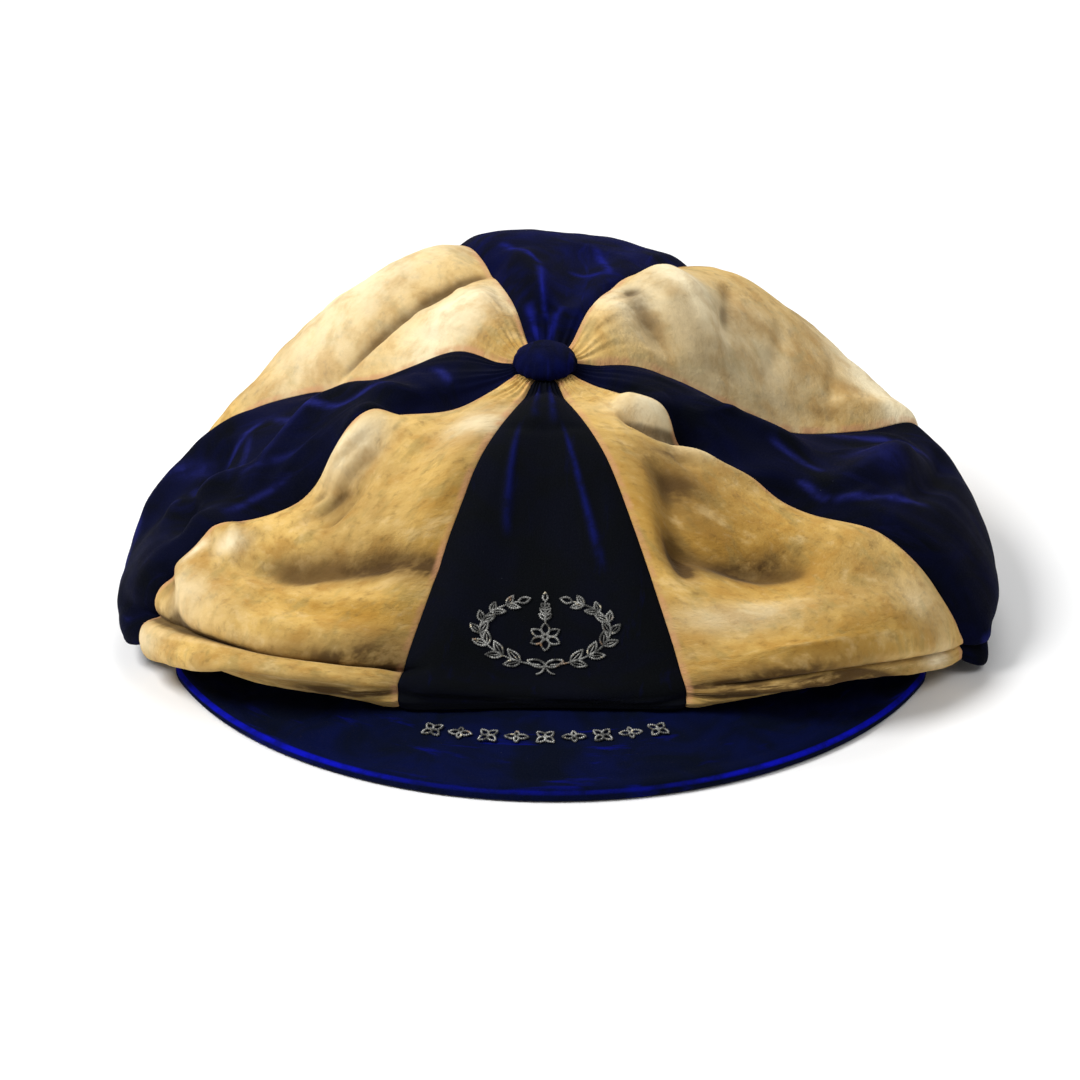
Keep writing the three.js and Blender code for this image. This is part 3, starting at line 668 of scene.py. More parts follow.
def patch_share(patches, az, s, radius):
    """How far the cloth is stained or faded by a table's patches, from 0 to 1."""
    total = 0 * radius
    for patch in patches:
        across = np.radians(wrap(az - patch["az"])) * radius
        along = (s - patch["s"]) * DOWN
        total = total + patch["share"] * np.exp(-(across / patch["wide"]) ** 2 - (along / patch["tall"]) ** 2)
    return clamp01(total)


def draw_back(outer, inner):
    """Moves both side edges back by half a gap, square to the seam, so that neighbours don't touch."""
    for edge, beside in ((0, 1), (-1, -2)):
        along = unit(np.gradient(outer[edge], axis=0))
        away = outer[beside] - outer[edge]
        away = away - along * np.sum(away * along, axis=-1, keepdims=True)
        pull = unit(away) * SEAM_GAP / 2
        outer[edge] += pull
        inner[edge] += pull


def flat_size(face):
    """A gore's area, its widest row and its longest column, along its outer face."""
    across = np.diff(face, axis=0)
    along = np.diff(face, axis=1)
    area = np.linalg.norm(np.cross(across[:, :-1], along[:-1]), axis=-1).sum()
    width = np.linalg.norm(across, axis=-1).sum(0).max()
    length = np.linalg.norm(along, axis=-1).sum(1).max()
    return area, width, length


def gore_wall(az, s, base, lift, detail):
    """The gore's outer face, with its folds, tucks and wrinkles, and its inner face, as grids of points."""
    normal = crown_normal(az, s)
    tuck = sum(fold_tuck(fold, az, s) for fold in FOLDS if fold["tuck"]) * relief_share(s)
    slid = base + unit(np.gradient(base, axis=1)) * tuck[..., None]
    outer = slid + normal * (lift + detail)[..., None]
    inner = slid + normal * (lift + np.minimum(detail, 0) - wall_depth(az, s, base))[..., None]
    draw_back(outer, inner)
    return outer, inner


# How many grid steps, across and down, each measure of the relief is compared over.
BLUR = {"crest": (2, 3), "hollow": (6, 8), "valley": (14, 20)}
SEAM_FREE = 2  # no ridge is marked nearer to a seam than this
SEAM_EASE = 4
GORE_APART = 300  # how far apart the gores lie on the flat cloth, so that no two look alike


def gore_numbers(gore, az, s, radius, lift):
    """What the material reads: ridges, hollows, seams, painted sheen, stain and painted shade, rich tone,
    fading and painted light.
    """
    beside = np.radians(np.minimum(az - gore["from"], gore["to"] - az)) * radius
    return {
        # crest: the ridges, where the velvet gets painted sheen and the gold is paler.
        "crest": (lift - box_blur(lift, BLUR["crest"])) * smooth((beside - SEAM_FREE) / SEAM_EASE),
        # hollow and valley: how deep a point lies in a crease, where the gold is painted brown, partly dirt
        # and partly painted shade.
        "hollow": box_blur(lift, BLUR["hollow"]) - lift,
        "valley": box_blur(lift, BLUR["valley"]) - lift,
        "seam": beside,
        # Painted sheen lines, for the velvet.
        "painted_sheen": clamp01(sum(fold_lift(line, az, s) for line in PAINTED_SHEEN_LINES)),
        # Stains and painted shade, from the patches.
        "stain_and_shade": patch_share(STAINS_AND_SHADE, az, s, radius),
        "rich": patch_share(RICH, az, s, radius),
        # Fading and painted light, from the patches.
        "faded_and_painted_light": patch_share(FADED_AND_PAINTED_LIGHT, az, s, radius),
    }


def gore_piece(gore):
    """One gore: a closed wall of cloth, and its flat size."""
    columns = GORE_GRID["columns"]
    down = GORE_GRID["rows"]
    t = np.linspace(0, 1, columns)
    u = t - GORE_GRID["edge_share"] * np.sin(2 * np.pi * t) / (2 * np.pi)
    az = mix(gore["from"], gore["to"], u)[:, None]
    s = np.linspace(0, 1, down)[None, :]
    base = crown_base(az, s)
    radius = np.hypot(base[..., 0], base[..., 1])
    shape = relief(az, s, base)
    detail = face_detail(az, s, base, gore)
    outer, inner = gore_wall(az, s, base, shape, detail)

    back = columns * down
    faces = grid_faces(columns, down) + grid_faces(columns, down, back, flip=True)
    edges = edge_faces(columns, down, back)
    points = np.concatenate([outer.reshape(-1, 3), inner.reshape(-1, 3)])
    piece = new_piece(gore["name"], points, faces + edges)
    half = len(faces) // 2
    piece.data.polygons.foreach_set("use_smooth", [True] * len(faces) + [False] * len(edges))
    piece.data.polygons.foreach_set("material_index", [0] * half + [1] * half + [0] * len(edges))

    for name, values in gore_numbers(gore, az, s, radius, shape + detail).items():
        put_numbers(piece, name, np.concatenate([values.ravel(), values.ravel()]))
    middle = (gore["from"] + gore["to"]) / 2
    across = np.radians(az - middle) * radius + GORE_APART * GORES.index(gore)
    places = np.stack(np.broadcast_arrays(across, s * DOWN), -1).reshape(-1, 2)
    put_cloth_places(piece, np.concatenate([places, places]))
    return piece, *flat_size(outer)


# ---- The peak, the button and the headband ----
PEAK_GRID = {"columns": 220, "top": 40, "edge": 14, "under": 14}
PEAK_ROLL = {"stitch": 4.2, "groove": 0.35, "swell": 0.25, "width": 1.2, "least": 8, "ease": 12}
PEAK_WAVES = rows(["height", "turn", "size", "seed"], [[0.35, 1.2, 9, 11], [0.2, 2.1, 4, 12]])
PEAK_FLAT_RADIUS = 105


def peak_section(az):
    """One closed section of the peak: its top, the rolled outer edge, and its underside."""
    roll = PEAK["thickness"] / 2
    root = peak_root(az)
    edge = peak_edge(az) - roll
    share = np.linspace(0, 1, PEAK_GRID["top"])
    radius = mix(root, edge, share)
    height = peak_top(az, radius)
    from_edge = (edge - radius - PEAK_ROLL["stitch"]) / PEAK_ROLL["width"]
    wide_enough = smooth((edge - root - PEAK_ROLL["least"]) / PEAK_ROLL["ease"])
    height = height - PEAK_ROLL["groove"] * np.exp(-from_edge ** 2) * wide_enough
    height = height + PEAK_ROLL["swell"] * np.exp(-((from_edge + 2) / 1.6) ** 2) * wide_enough
    waves = sum(row["height"] * blobs(az * row["turn"] + 0 * radius, radius, row["size"], row["seed"])
                for row in PEAK_WAVES)
    height = height + waves * smooth(share / 0.1) * (1 - smooth((share - 0.9) / 0.1))
    turn = np.linspace(0, math.pi, PEAK_GRID["edge"] + 2)[1:-1]
    turn_radius = edge + roll * np.sin(turn)
    turn_height = roll + roll * np.cos(turn)
    under = np.linspace(1, 0, PEAK_GRID["under"])
    under_radius = mix(root, edge, under)
    under_height = peak_top(az, under_radius) - peak_top(az, edge)
    radii = np.concatenate([radius, turn_radius, under_radius])
    heights = np.concatenate([height, turn_height, under_height])
    return polar(az, radii, heights), radii


def ring_faces(count, loop, closed):
    """Quads round a body swept along count loops of points; its ends are closed unless the body is a ring."""
    faces = []
    for i in range(count if closed else count - 1):
        for j in range(loop):
            a, b = i * loop, ((i + 1) % count) * loop
            k = (j + 1) % loop
            faces.append([a + j, a + k, b + k, b + j])
    if not closed:
        faces.append(list(range(loop))[::-1])
        faces.append([(count - 1) * loop + j for j in range(loop)])
    return faces


def face_out(piece):
    """Turns a closed piece's faces outwards."""
    mesh = piece.data
    mesh.calc_loop_triangles()
    points = np.empty(len(mesh.vertices) * 3)
    mesh.vertices.foreach_get("co", points)
    points = points.reshape(-1, 3)
    corners = np.empty(len(mesh.loop_triangles) * 3, np.int32)
    mesh.loop_triangles.foreach_get("vertices", corners)
    a, b, c = points[corners.reshape(-1, 3)].transpose(1, 0, 2)
    if np.einsum("ij,ij->i", a, np.cross(b, c)).sum() < 0:
        mesh.flip_normals()


def peak_piece():
    places = np.linspace(-PEAK_SPAN["tip"], PEAK_SPAN["tip"], PEAK_GRID["columns"])
    sections = []
    flat = []
    for az in places:
        points, radii = peak_section(az)
        sections.append(points)
        flat.append(np.stack([np.radians(az) * PEAK_FLAT_RADIUS + 0 * radii, radii], -1))
    faces = ring_faces(len(places), len(sections[0]), closed=False)
    piece = new_piece("peak_cloth", np.concatenate(sections), faces)
    face_out(piece)
    # Painted sheen along the top of the peak's rolled edge, weaker over the middle of the peak than towards
    # its tips.
    turn = np.linspace(0, 1, PEAK_GRID["edge"])
    rolled = 1 - smooth((turn - 0.2) / 0.25)
    rim = np.concatenate([np.zeros(PEAK_GRID["top"]), rolled, np.zeros(PEAK_GRID["under"])])
    edge_sheen = mix(0.35, 1, smooth((np.abs(places) - 12) / 25))
    put_numbers(piece, "rim", np.outer(edge_sheen, rim))
    put_cloth_places(piece, np.concatenate(flat))
    return piece


BUTTON_GRID = {"around": 96, "up": 30}
BUTTON_PLEATS = {"count": 14, "finer": 23, "wander": 1.4, "height": 0.2, "fade": 1.1}
BUTTON_FOOT = 0.25


def button_piece():
    """The covered button: cloth drawn down over a dome, with gathers near its foot."""
    angle = np.linspace(0, 2 * math.pi, BUTTON_GRID["around"], endpoint=False)[:, None]
    rise = np.linspace(-0.35, math.pi / 2, BUTTON_GRID["up"])[None, :-1]
    pull = 1 - smooth(rise / BUTTON_PLEATS["fade"])
    ripple = np.cos(angle * BUTTON_PLEATS["count"] + BUTTON_PLEATS["wander"] * np.sin(angle * 3))
    ripple = ripple + 0.5 * np.cos(angle * BUTTON_PLEATS["finer"] + 1)
    radius = BUTTON["radius"] * np.cos(rise) ** 0.92 - 0.28 + BUTTON_PLEATS["height"] * ripple * pull
    height = mix(BUTTON["edge"], BUTTON["height"], np.sin(rise)) + 0.12 * blobs(angle * 6, rise * 9, 3, 2)
    height = np.maximum(height, BUTTON_FOOT)
    points = np.stack(np.broadcast_arrays(radius * np.cos(angle), radius * np.sin(angle), height), -1)
    points = points.reshape(-1, 3)
    loop = rise.shape[1]
    count = len(angle)
    top = len(points)
    points = np.concatenate([points, [[0, 0, BUTTON["height"]], [0, 0, BUTTON_FOOT]]])
    faces = []
    for i in range(count):
        a, b = i * loop, ((i + 1) % count) * loop
        for j in range(loop - 1):
            faces.append([a + j, b + j, b + j + 1, a + j + 1])
        faces.append([a + loop - 1, b + loop - 1, top])
        faces.append([b, a, top + 1])
    tilt = math.radians(APEX["tilt"])
    x, y, z = points.T
    ahead = y * math.cos(tilt) - z * math.sin(tilt)
    above = y * math.sin(tilt) + z * math.cos(tilt)
    seat = [0, 0, APEX["height"] + GAP]
    piece = new_piece("button_cloth", np.stack([x, ahead, above], -1) + seat, faces)
    face_out(piece)
    put_numbers(piece, "hollow", np.concatenate([(-0.25 * ripple * pull).ravel(), [0, 0]]))
    put_cloth_places(piece, points[:, :2])
    return piece


BAND_GRID = {"around": 240, "rise": 14}
BAND_FLAT_RADIUS = 89
# The row of stitches: how high it runs, how it presses the twill in, and each stitch's share of its pitch.
STITCHES = {"up": 3.2, "press": 0.2, "spread": 0.7, "count": 150, "share": 0.62, "radius": 0.22}


def band_point(angle, inward, up):
    """A point of the headband's wall: inward from its outer face, and up from its lower edge."""
    x = np.sin(angle)
    y = -np.cos(angle)
    az = np.degrees(np.arctan2(HEAD["half_width"] * x, -HEAD["centre_y"] - HEAD["half_length"] * y))
    share = front_share(az)
    above = np.maximum(up - BAND["foot"], 0) / (BAND["height"] - BAND["foot"])
    lean = BAND["front_lean"] * share * (BAND["height"] - BAND["foot"]) * above
    return np.stack(np.broadcast_arrays((HEAD["half_width"] - lean - inward) * x,
                                        HEAD["centre_y"] + (HEAD["half_length"] - lean - inward) * y,
                                        BAND["front_lift"] * share + up), -1)


def band_piece():
    """The headband: twill turned over at both edges, with a shallow line where it is stitched."""
    rise = np.linspace(0, 1, BAND_GRID["rise"])
    up = BAND["height"] * rise
    corner = 0.35 * (np.exp(-up / 0.8) + np.exp(-(BAND["height"] - up) / 0.8))
    press = STITCHES["press"] * np.exp(-((up - STITCHES["up"]) / STITCHES["spread"]) ** 2)
    inner = np.stack([BAND["wall"] - corner - press, up], -1)
    outer = np.stack([corner, up], -1)[::-1]
    profile = np.concatenate([inner, outer])
    angles = np.linspace(0, 2 * math.pi, BAND_GRID["around"], endpoint=False)
    sections = [band_point(angle, profile[:, 0], profile[:, 1]) for angle in angles]
    faces = ring_faces(len(angles), len(profile), closed=True)
    piece = new_piece("headband_twill", np.concatenate(sections), faces)
    face_out(piece)
    across = 0 * profile[:, 0]
    flat = [np.stack([angle * BAND_FLAT_RADIUS + across, profile[:, 1]], -1) for angle in angles]
    put_cloth_places(piece, np.concatenate(flat))
    return piece


# ---- Stitching ----
def tube(path, radii, sides, up):
    """A tube's points and quads along a path; up is a direction that the path never follows."""
    path = np.asarray(path, float)
    along = unit(np.gradient(path, axis=0))
    side = unit(np.cross(along, up))
    rise = np.cross(along, side)
    angle = np.linspace(0, 2 * math.pi, sides, endpoint=False)
    radii = np.broadcast_to(radii, len(path))
    turn = angle[None, :, None]
    ring = side[:, None] * np.cos(turn) + rise[:, None] * np.sin(turn)
    points = path[:, None] + ring * radii[:, None, None]
    return points.reshape(-1, 3), ring_faces(len(path), sides, closed=False)


def joined_piece(name, parts):
    """One piece from many lists of points and faces."""
    points = []
    faces = []
    start = 0
    for part_points, part_faces in parts:
        points.append(part_points)
        faces += [[k + start for k in face] for face in part_faces]
        start += len(part_points)
    return new_piece(name, np.concatenate(points), faces)


def resample(path, spacing):
    """The path again, with its points an even spacing apart."""
    path = np.asarray(path, float)
    gone = np.concatenate([[0], np.cumsum(np.linalg.norm(np.diff(path, axis=0), axis=1))])
    count = max(int(gone[-1] / spacing), 4)
    at = np.linspace(0, gone[-1], count)
    return np.stack([np.interp(at, gone, path[:, k]) for k in range(path.shape[1])], -1), at


def front_place(x, down, proud):
    """A point on the front gore: x across and down from the badge's middle, in millimetres of cloth."""
    centre = crown_base(0.0, WREATH["s"])
    az = np.degrees(np.asarray(x, float) / np.hypot(centre[0], centre[1]))
    s = WREATH["s"] + np.asarray(down, float) / DOWN
    base = crown_base(az, s)
    lift = relief(az, s, base) + face_detail(az, s, base, GORES[0])
    return base + crown_normal(az, s) * (lift + proud)[..., None]


def peak_place(x, out, proud):
    """A point on the peak: x across from its middle, and out from where its row of stitching runs."""
    row = peak_root(0.0) + ORNAMENT["out"]
    radius = row + np.asarray(out, float)
    az = np.degrees(np.asarray(x, float) / row)
    return polar(az, radius, peak_top(az, radius) + 0.2 + proud)


PURL = {"radius": 0.34, "bead": 0.62, "sides": 6, "steps": 5}


def purl(place, path, radius=PURL["radius"]):
    """A length of beaded metal thread couched along a path on the cloth."""
    flat, gone = resample(path, PURL["bead"] / PURL["steps"])
    beads = 1 + 0.3 * np.cos(2 * math.pi * gone / PURL["bead"])
    ends = np.minimum(1, 0.25 + np.minimum(gone, gone[-1] - gone) / 0.3)
    points = place(flat[:, 0], flat[:, 1], radius * 0.75 + 0 * gone)
    return tube(points, radius * beads * ends, PURL["sides"], up=(0.05, -0.6, 0.8))


def loop_path(start, angle, length, width, point=1.0):
    """A leaf's outline on the flat cloth: from its stalk out to its tip and back."""
    t = np.linspace(0, 1, 24)
    half = width / 2 * np.sin(math.pi * t ** 0.85) ** point
    along = np.concatenate([t, t[::-1][1:]]) * length
    side = np.concatenate([half, -half[::-1][1:]])
    x = start[0] + along * math.sin(angle) + side * math.cos(angle)
    y = start[1] - along * math.cos(angle) + side * math.sin(angle)
    return np.stack([x, y], -1)


def line_path(start, angle, length, bend=0.0):
    t = np.linspace(0, 1, 12)
    side = bend * np.sin(math.pi * t)
    x = start[0] + t * length * math.sin(angle) + side * math.cos(angle)
    y = start[1] - t * length * math.cos(angle) + side * math.sin(angle)
    return np.stack([x, y], -1)


def leaf(place, *outline):
    return purl(place, loop_path(*outline))


SPRAY = {"leaves": 7, "leaf": 5.4, "width": 2.2, "foot": 176, "open": 27, "lean": 34}


def spray(hand):
    """One branch of the wreath, from the tie at its foot up one side; hand is 1 or -1."""
    parts = []
    turn = np.linspace(math.radians(SPRAY["foot"]), math.radians(SPRAY["open"]), 60)
    stem = np.stack([hand * WREATH["half_width"] * np.sin(turn), -WREATH["half_height"] * np.cos(turn)], -1)
    parts.append(purl(front_place, stem, PURL["radius"] * 0.9))
    for k in range(SPRAY["leaves"]):
        share = (k + 0.9) / (SPRAY["leaves"] + 0.4)
        i = int(share * (len(stem) - 2))
        step = stem[i + 1] - stem[i]
        heading = math.atan2(step[0], -step[1])
        size = 1 - 0.3 * share
        for side in (1, -1):
            lean = heading + side * math.radians(SPRAY["lean"])
            length = SPRAY["leaf"] * size * (0.85 if side * hand > 0 else 1)
            parts.append(leaf(front_place, stem[i], lean, length, SPRAY["width"] * size))
            parts.append(purl(front_place, line_path(stem[i], lean, length * 0.75), PURL["radius"] * 0.6))
    tip = stem[-1] - stem[-2]
    heading = math.atan2(tip[0], -tip[1])
    parts.append(leaf(front_place, stem[-1], heading, SPRAY["leaf"] * 0.7, SPRAY["width"] * 0.8))
    return parts


def wreath_piece():
    """The badge: two laurel sprays tied at the foot, round a small flower on a budding stalk."""
    parts = spray(1) + spray(-1)
    flower = np.array([0.0, 1.5])
    petals = 6
    for k in range(petals):
        angle = 2 * math.pi * k / petals
        root = flower + 0.9 * np.array([math.sin(angle), -math.cos(angle)])
        parts.append(leaf(front_place, root, angle, 3.6, 2.3, 0.8))
    turn = np.linspace(0, 2 * math.pi, 20)
    parts.append(purl(front_place, flower + 0.7 * np.stack([np.sin(turn), np.cos(turn)], -1)))
    stalk_foot = flower + [0, -4.6]
    parts.append(purl(front_place, line_path(stalk_foot, 0, 7.6)))
    for k, out in enumerate((1.2, 3.2, 5.2)):
        for side in (1, -1):
            bud = stalk_foot + [0, -out]
            parts.append(leaf(front_place, bud, side * 0.75, 2.6 - 0.45 * k, 1.1))
    parts.append(leaf(front_place, stalk_foot + [0, -7.2], 0, 2.6, 1.5))
    tie = np.array([0.0, WREATH["half_height"] + 0.2])
    for side in (1, -1):
        parts.append(leaf(front_place, tie, side * 1.25, 5, 2.4, 0.8))
        parts.append(purl(front_place, line_path(tie, side * 2.5, 4.2, side * 0.5)))
    return joined_piece("wreath_thread", parts)


ORNAMENT = {"out": 17, "half": 32, "motifs": 9}


def ornament_piece():
    """A generic running border on the peak: stitched flowers and leaf pairs in turn."""
    parts = []
    places = np.linspace(-ORNAMENT["half"], ORNAMENT["half"], ORNAMENT["motifs"])
    for k, x in enumerate(places):
        centre = np.array([x, 0.0])
        if k % 2 == 0:
            for petal in range(4):
                angle = math.pi / 4 + math.pi / 2 * petal
                parts.append(leaf(peak_place, centre, angle, 3.2, 1.9, 0.8))
        else:
            for side in (1, -1):
                parts.append(leaf(peak_place, centre, side * math.pi / 2, 3.3, 1.9))
            parts.append(leaf(peak_place, centre, 0, 2.4, 1.3))
            parts.append(leaf(peak_place, centre, math.pi, 2.4, 1.3))
    return joined_piece("peak_border_thread", parts)


def band_stitches():
    """The row of short stitches on the headband, near its lower edge."""
    count = STITCHES["count"]
    half = STITCHES["share"] / 2
    rise = STITCHES["radius"] * 0.4 + 0.2 * np.sin(np.linspace(0, math.pi, 6))
    parts = []
    for k in range(count):
        angle = (k + np.linspace(0.5 - half, 0.5 + half, 6)) / count * 2 * math.pi
        path = band_point(angle, BAND["wall"] + rise, STITCHES["up"] + 0 * angle)
        parts.append(tube(path, STITCHES["radius"], 5, up=(0.03, 0.05, 1)))
    return joined_piece("headband_stitches", parts)


# ---- Materials ----
def srgb(red, green, blue):
    """A colour given as 0 to 255, as the linear values that a shader takes."""
    shares = [part / 255 for part in (red, green, blue)]
    linear = [share / 12.92 if share <= 0.04045 else ((share + 0.055) / 1.055) ** 2.4 for share in shares]
    return (*linear, 1.0)


class Finish:
    """A material under way: its node tree, and the colour that its layers have built up so far."""

    def __init__(self, name):
        self.material = bpy.data.materials.new(name)
        self.material.use_nodes = True
        self.tree = self.material.node_tree
        self.tree.nodes.clear()
        self.base = None

    def put(self, target, value):
        """Links a socket to another one, or sets it to a constant."""
        if isinstance(value, bpy.types.NodeSocket):
            self.tree.links.new(value, target)
        else:
            target.default_value = value

    def node(self, kind, inputs, **settings):
        made = self.tree.nodes.new(kind)
        for name, value in settings.items():
            setattr(made, name, value)
        for name, value in inputs.items():
            self.put(made.inputs[name], value)
        return made

    def number(self, name):
        """A number that is stored at the piece's points."""
        return self.node("ShaderNodeAttribute", {}, attribute_name=name).outputs["Fac"]

    def position(self):
        return self.node("ShaderNodeNewGeometry", {}).outputs["Position"]

    def places(self, stretch=(1, 1, 1)):
        """The cloth's own coordinates."""
        flat = self.node("ShaderNodeUVMap", {}, uv_map="cloth").outputs["UV"]
        return self.node("ShaderNodeMapping", {"Vector": flat, "Scale": stretch}).outputs["Vector"]

    def noise(self, places, size, detail=3.0, rough=0.55, warp=0.0):
        """Cloudy variation, from 0 to 1, in blobs about size millimetres across."""
        inputs = {"Vector": places, "Scale": 1000 / size}
        inputs.update({"Detail": detail, "Roughness": rough, "Distortion": warp})
        return self.node("ShaderNodeTexNoise", inputs).outputs["Fac"]

    def waves(self, places, scale, warp=0.0, direction="X"):
        inputs = {"Vector": places, "Scale": scale, "Distortion": warp}
        return self.node("ShaderNodeTexWave", inputs, bands_direction=direction).outputs["Fac"]

    def times(self, first, second, clamp=False):
        inputs = {0: first, 1: second}
        return self.node("ShaderNodeMath", inputs, operation="MULTIPLY", use_clamp=clamp).outputs[0]

    def span(self, value, low, high, to_low=0.0, to_high=1.0):
        """The value carried from low..high to to_low..to_high, held at both ends."""
        inputs = {"Value": value, "From Min": low, "From Max": high, "To Min": to_low, "To Max": to_high}
        return self.node("ShaderNodeMapRange", inputs, interpolation_type="SMOOTHSTEP").outputs["Result"]

    def start(self, share, first, second):
        """Begins the colour, as a blend of two."""
        made = self.node("ShaderNodeMix", {}, data_type="RGBA")
        for socket, value in zip((0, 6, 7), (share, first, second)):
            self.put(made.inputs[socket], value)
        self.base = made.outputs[2]

    def paint(self, share, colour):
        """Lays another colour over what is there."""
        self.start(share, self.base, colour)

    def bump(self, height, depth, strength=1.0, under=None):
        inputs = {"Height": height, "Distance": depth * MM, "Strength": strength}
        if under is not None:
            inputs["Normal"] = under
        return self.node("ShaderNodeBump", inputs).outputs["Normal"]

    def done(self, **inputs):
        """Closes the tree with its shader, and gives the material."""
        named = {key.replace("_", " "): value for key, value in inputs.items()}
        shader = self.node("ShaderNodeBsdfPrincipled", {"Base Color": self.base, **named})
        self.node("ShaderNodeOutputMaterial", {"Surface": shader.outputs["BSDF"]})
        return self.material


# Each velvet's colours, and the strength of its sheen and of its streaks.
VELVETS = rows(["kind", "dark", "blue", "lit", "sheen", "streaked"], [
    ["front", (7, 9, 12), (7, 9, 20), (14, 20, 88), 0.02, 0.1],
    ["side", (3, 5, 12), (4, 7, 36), (32, 36, 110), 0.02, 0.08],
    ["back", (3, 5, 18), (4, 9, 60), (24, 30, 132), 0.03, 0.18],
    # The peak's velvet is the gores' cloth painted bluer: painted sheen for the light it catches facing up.
    ["peak", (3, 8, 24), (3, 10, 50), (8, 14, 170), 0.03, 0.3],
])
DOWN_THE_GORE = (1, 0.22, 1)
ROUND_THE_PEAK = (0.16, 1, 1)


def velvet(kind, dark, blue, lit, sheen, streaked):
    """Old cotton velvet: nearly black face on, with painted sheen in thin blue lines on its ridges, along
    listed lines and on the peak's rolled edge.
    """
    cloth = Finish(kind + "_velvet")
    lit = srgb(*lit)
    flat = cloth.places()
    streaks = cloth.noise(cloth.places(ROUND_THE_PEAK if kind == "peak" else DOWN_THE_GORE), 5, 4, 0.6, 0.4)
    patches = cloth.noise(flat, 20, 3, 0.6, 0.8)
    breaks = cloth.noise(flat, 6, 3, 0.6)
    pile = cloth.noise(flat, 0.5, 2)
    cloth.start(cloth.span(patches, 0.32, 0.72), srgb(*dark), srgb(*blue))
    # Painted sheen: the lit blue on the velvet's ridges, where the crest number is high.
    crest = cloth.span(cloth.number("crest"), 0.35, 0.95, 0, 0.5)
    cloth.paint(cloth.times(crest, cloth.span(patches, 0.3, 0.55, 0.3, 1)), lit)
    cloth.paint(cloth.span(streaks, 0.58, 0.74, 0, streaked), lit)
    # Painted sheen: the lit blue along the listed lines.
    cloth.paint(cloth.times(cloth.number("painted_sheen"), cloth.span(breaks, 0.32, 0.6, 0.25, 0.85)), lit)
    # Painted sheen along the peak's rolled edge, where the rim number is high.
    rim = cloth.span(cloth.number("rim"), 0.1, 0.9)
    cloth.paint(cloth.times(rim, cloth.span(breaks, 0.3, 0.6, 0.3, 0.95)), lit)
    cloth.paint(cloth.span(cloth.noise(flat, 1.1, 2), 0.76, 0.82, 0, 0.14), srgb(120, 124, 140))
    normal = cloth.bump(pile, 0.18, 0.7)
    normal = cloth.bump(streaks, 0.4, 0.4, normal)
    rough = cloth.span(pile, 0.3, 0.7, 0.8, 0.97)
    return cloth.done(Roughness=rough, Normal=normal, Specular_IOR_Level=0.05,
                      Sheen_Weight=sheen, Sheen_Roughness=0.35, Sheen_Tint=srgb(50, 64, 230))


CREAM = srgb(240, 224, 186)
PALE = srgb(226, 198, 144)
GOLD = srgb(214, 177, 102)
TAN = srgb(186, 152, 88)
RICH_GOLD = srgb(182, 138, 54)
OCHRE = srgb(172, 126, 52)
OLIVE = srgb(156, 134, 76)
BROWN = srgb(104, 78, 42)
DEEP_BROWN = srgb(60, 41, 20)
ROSE = srgb(200, 148, 108)


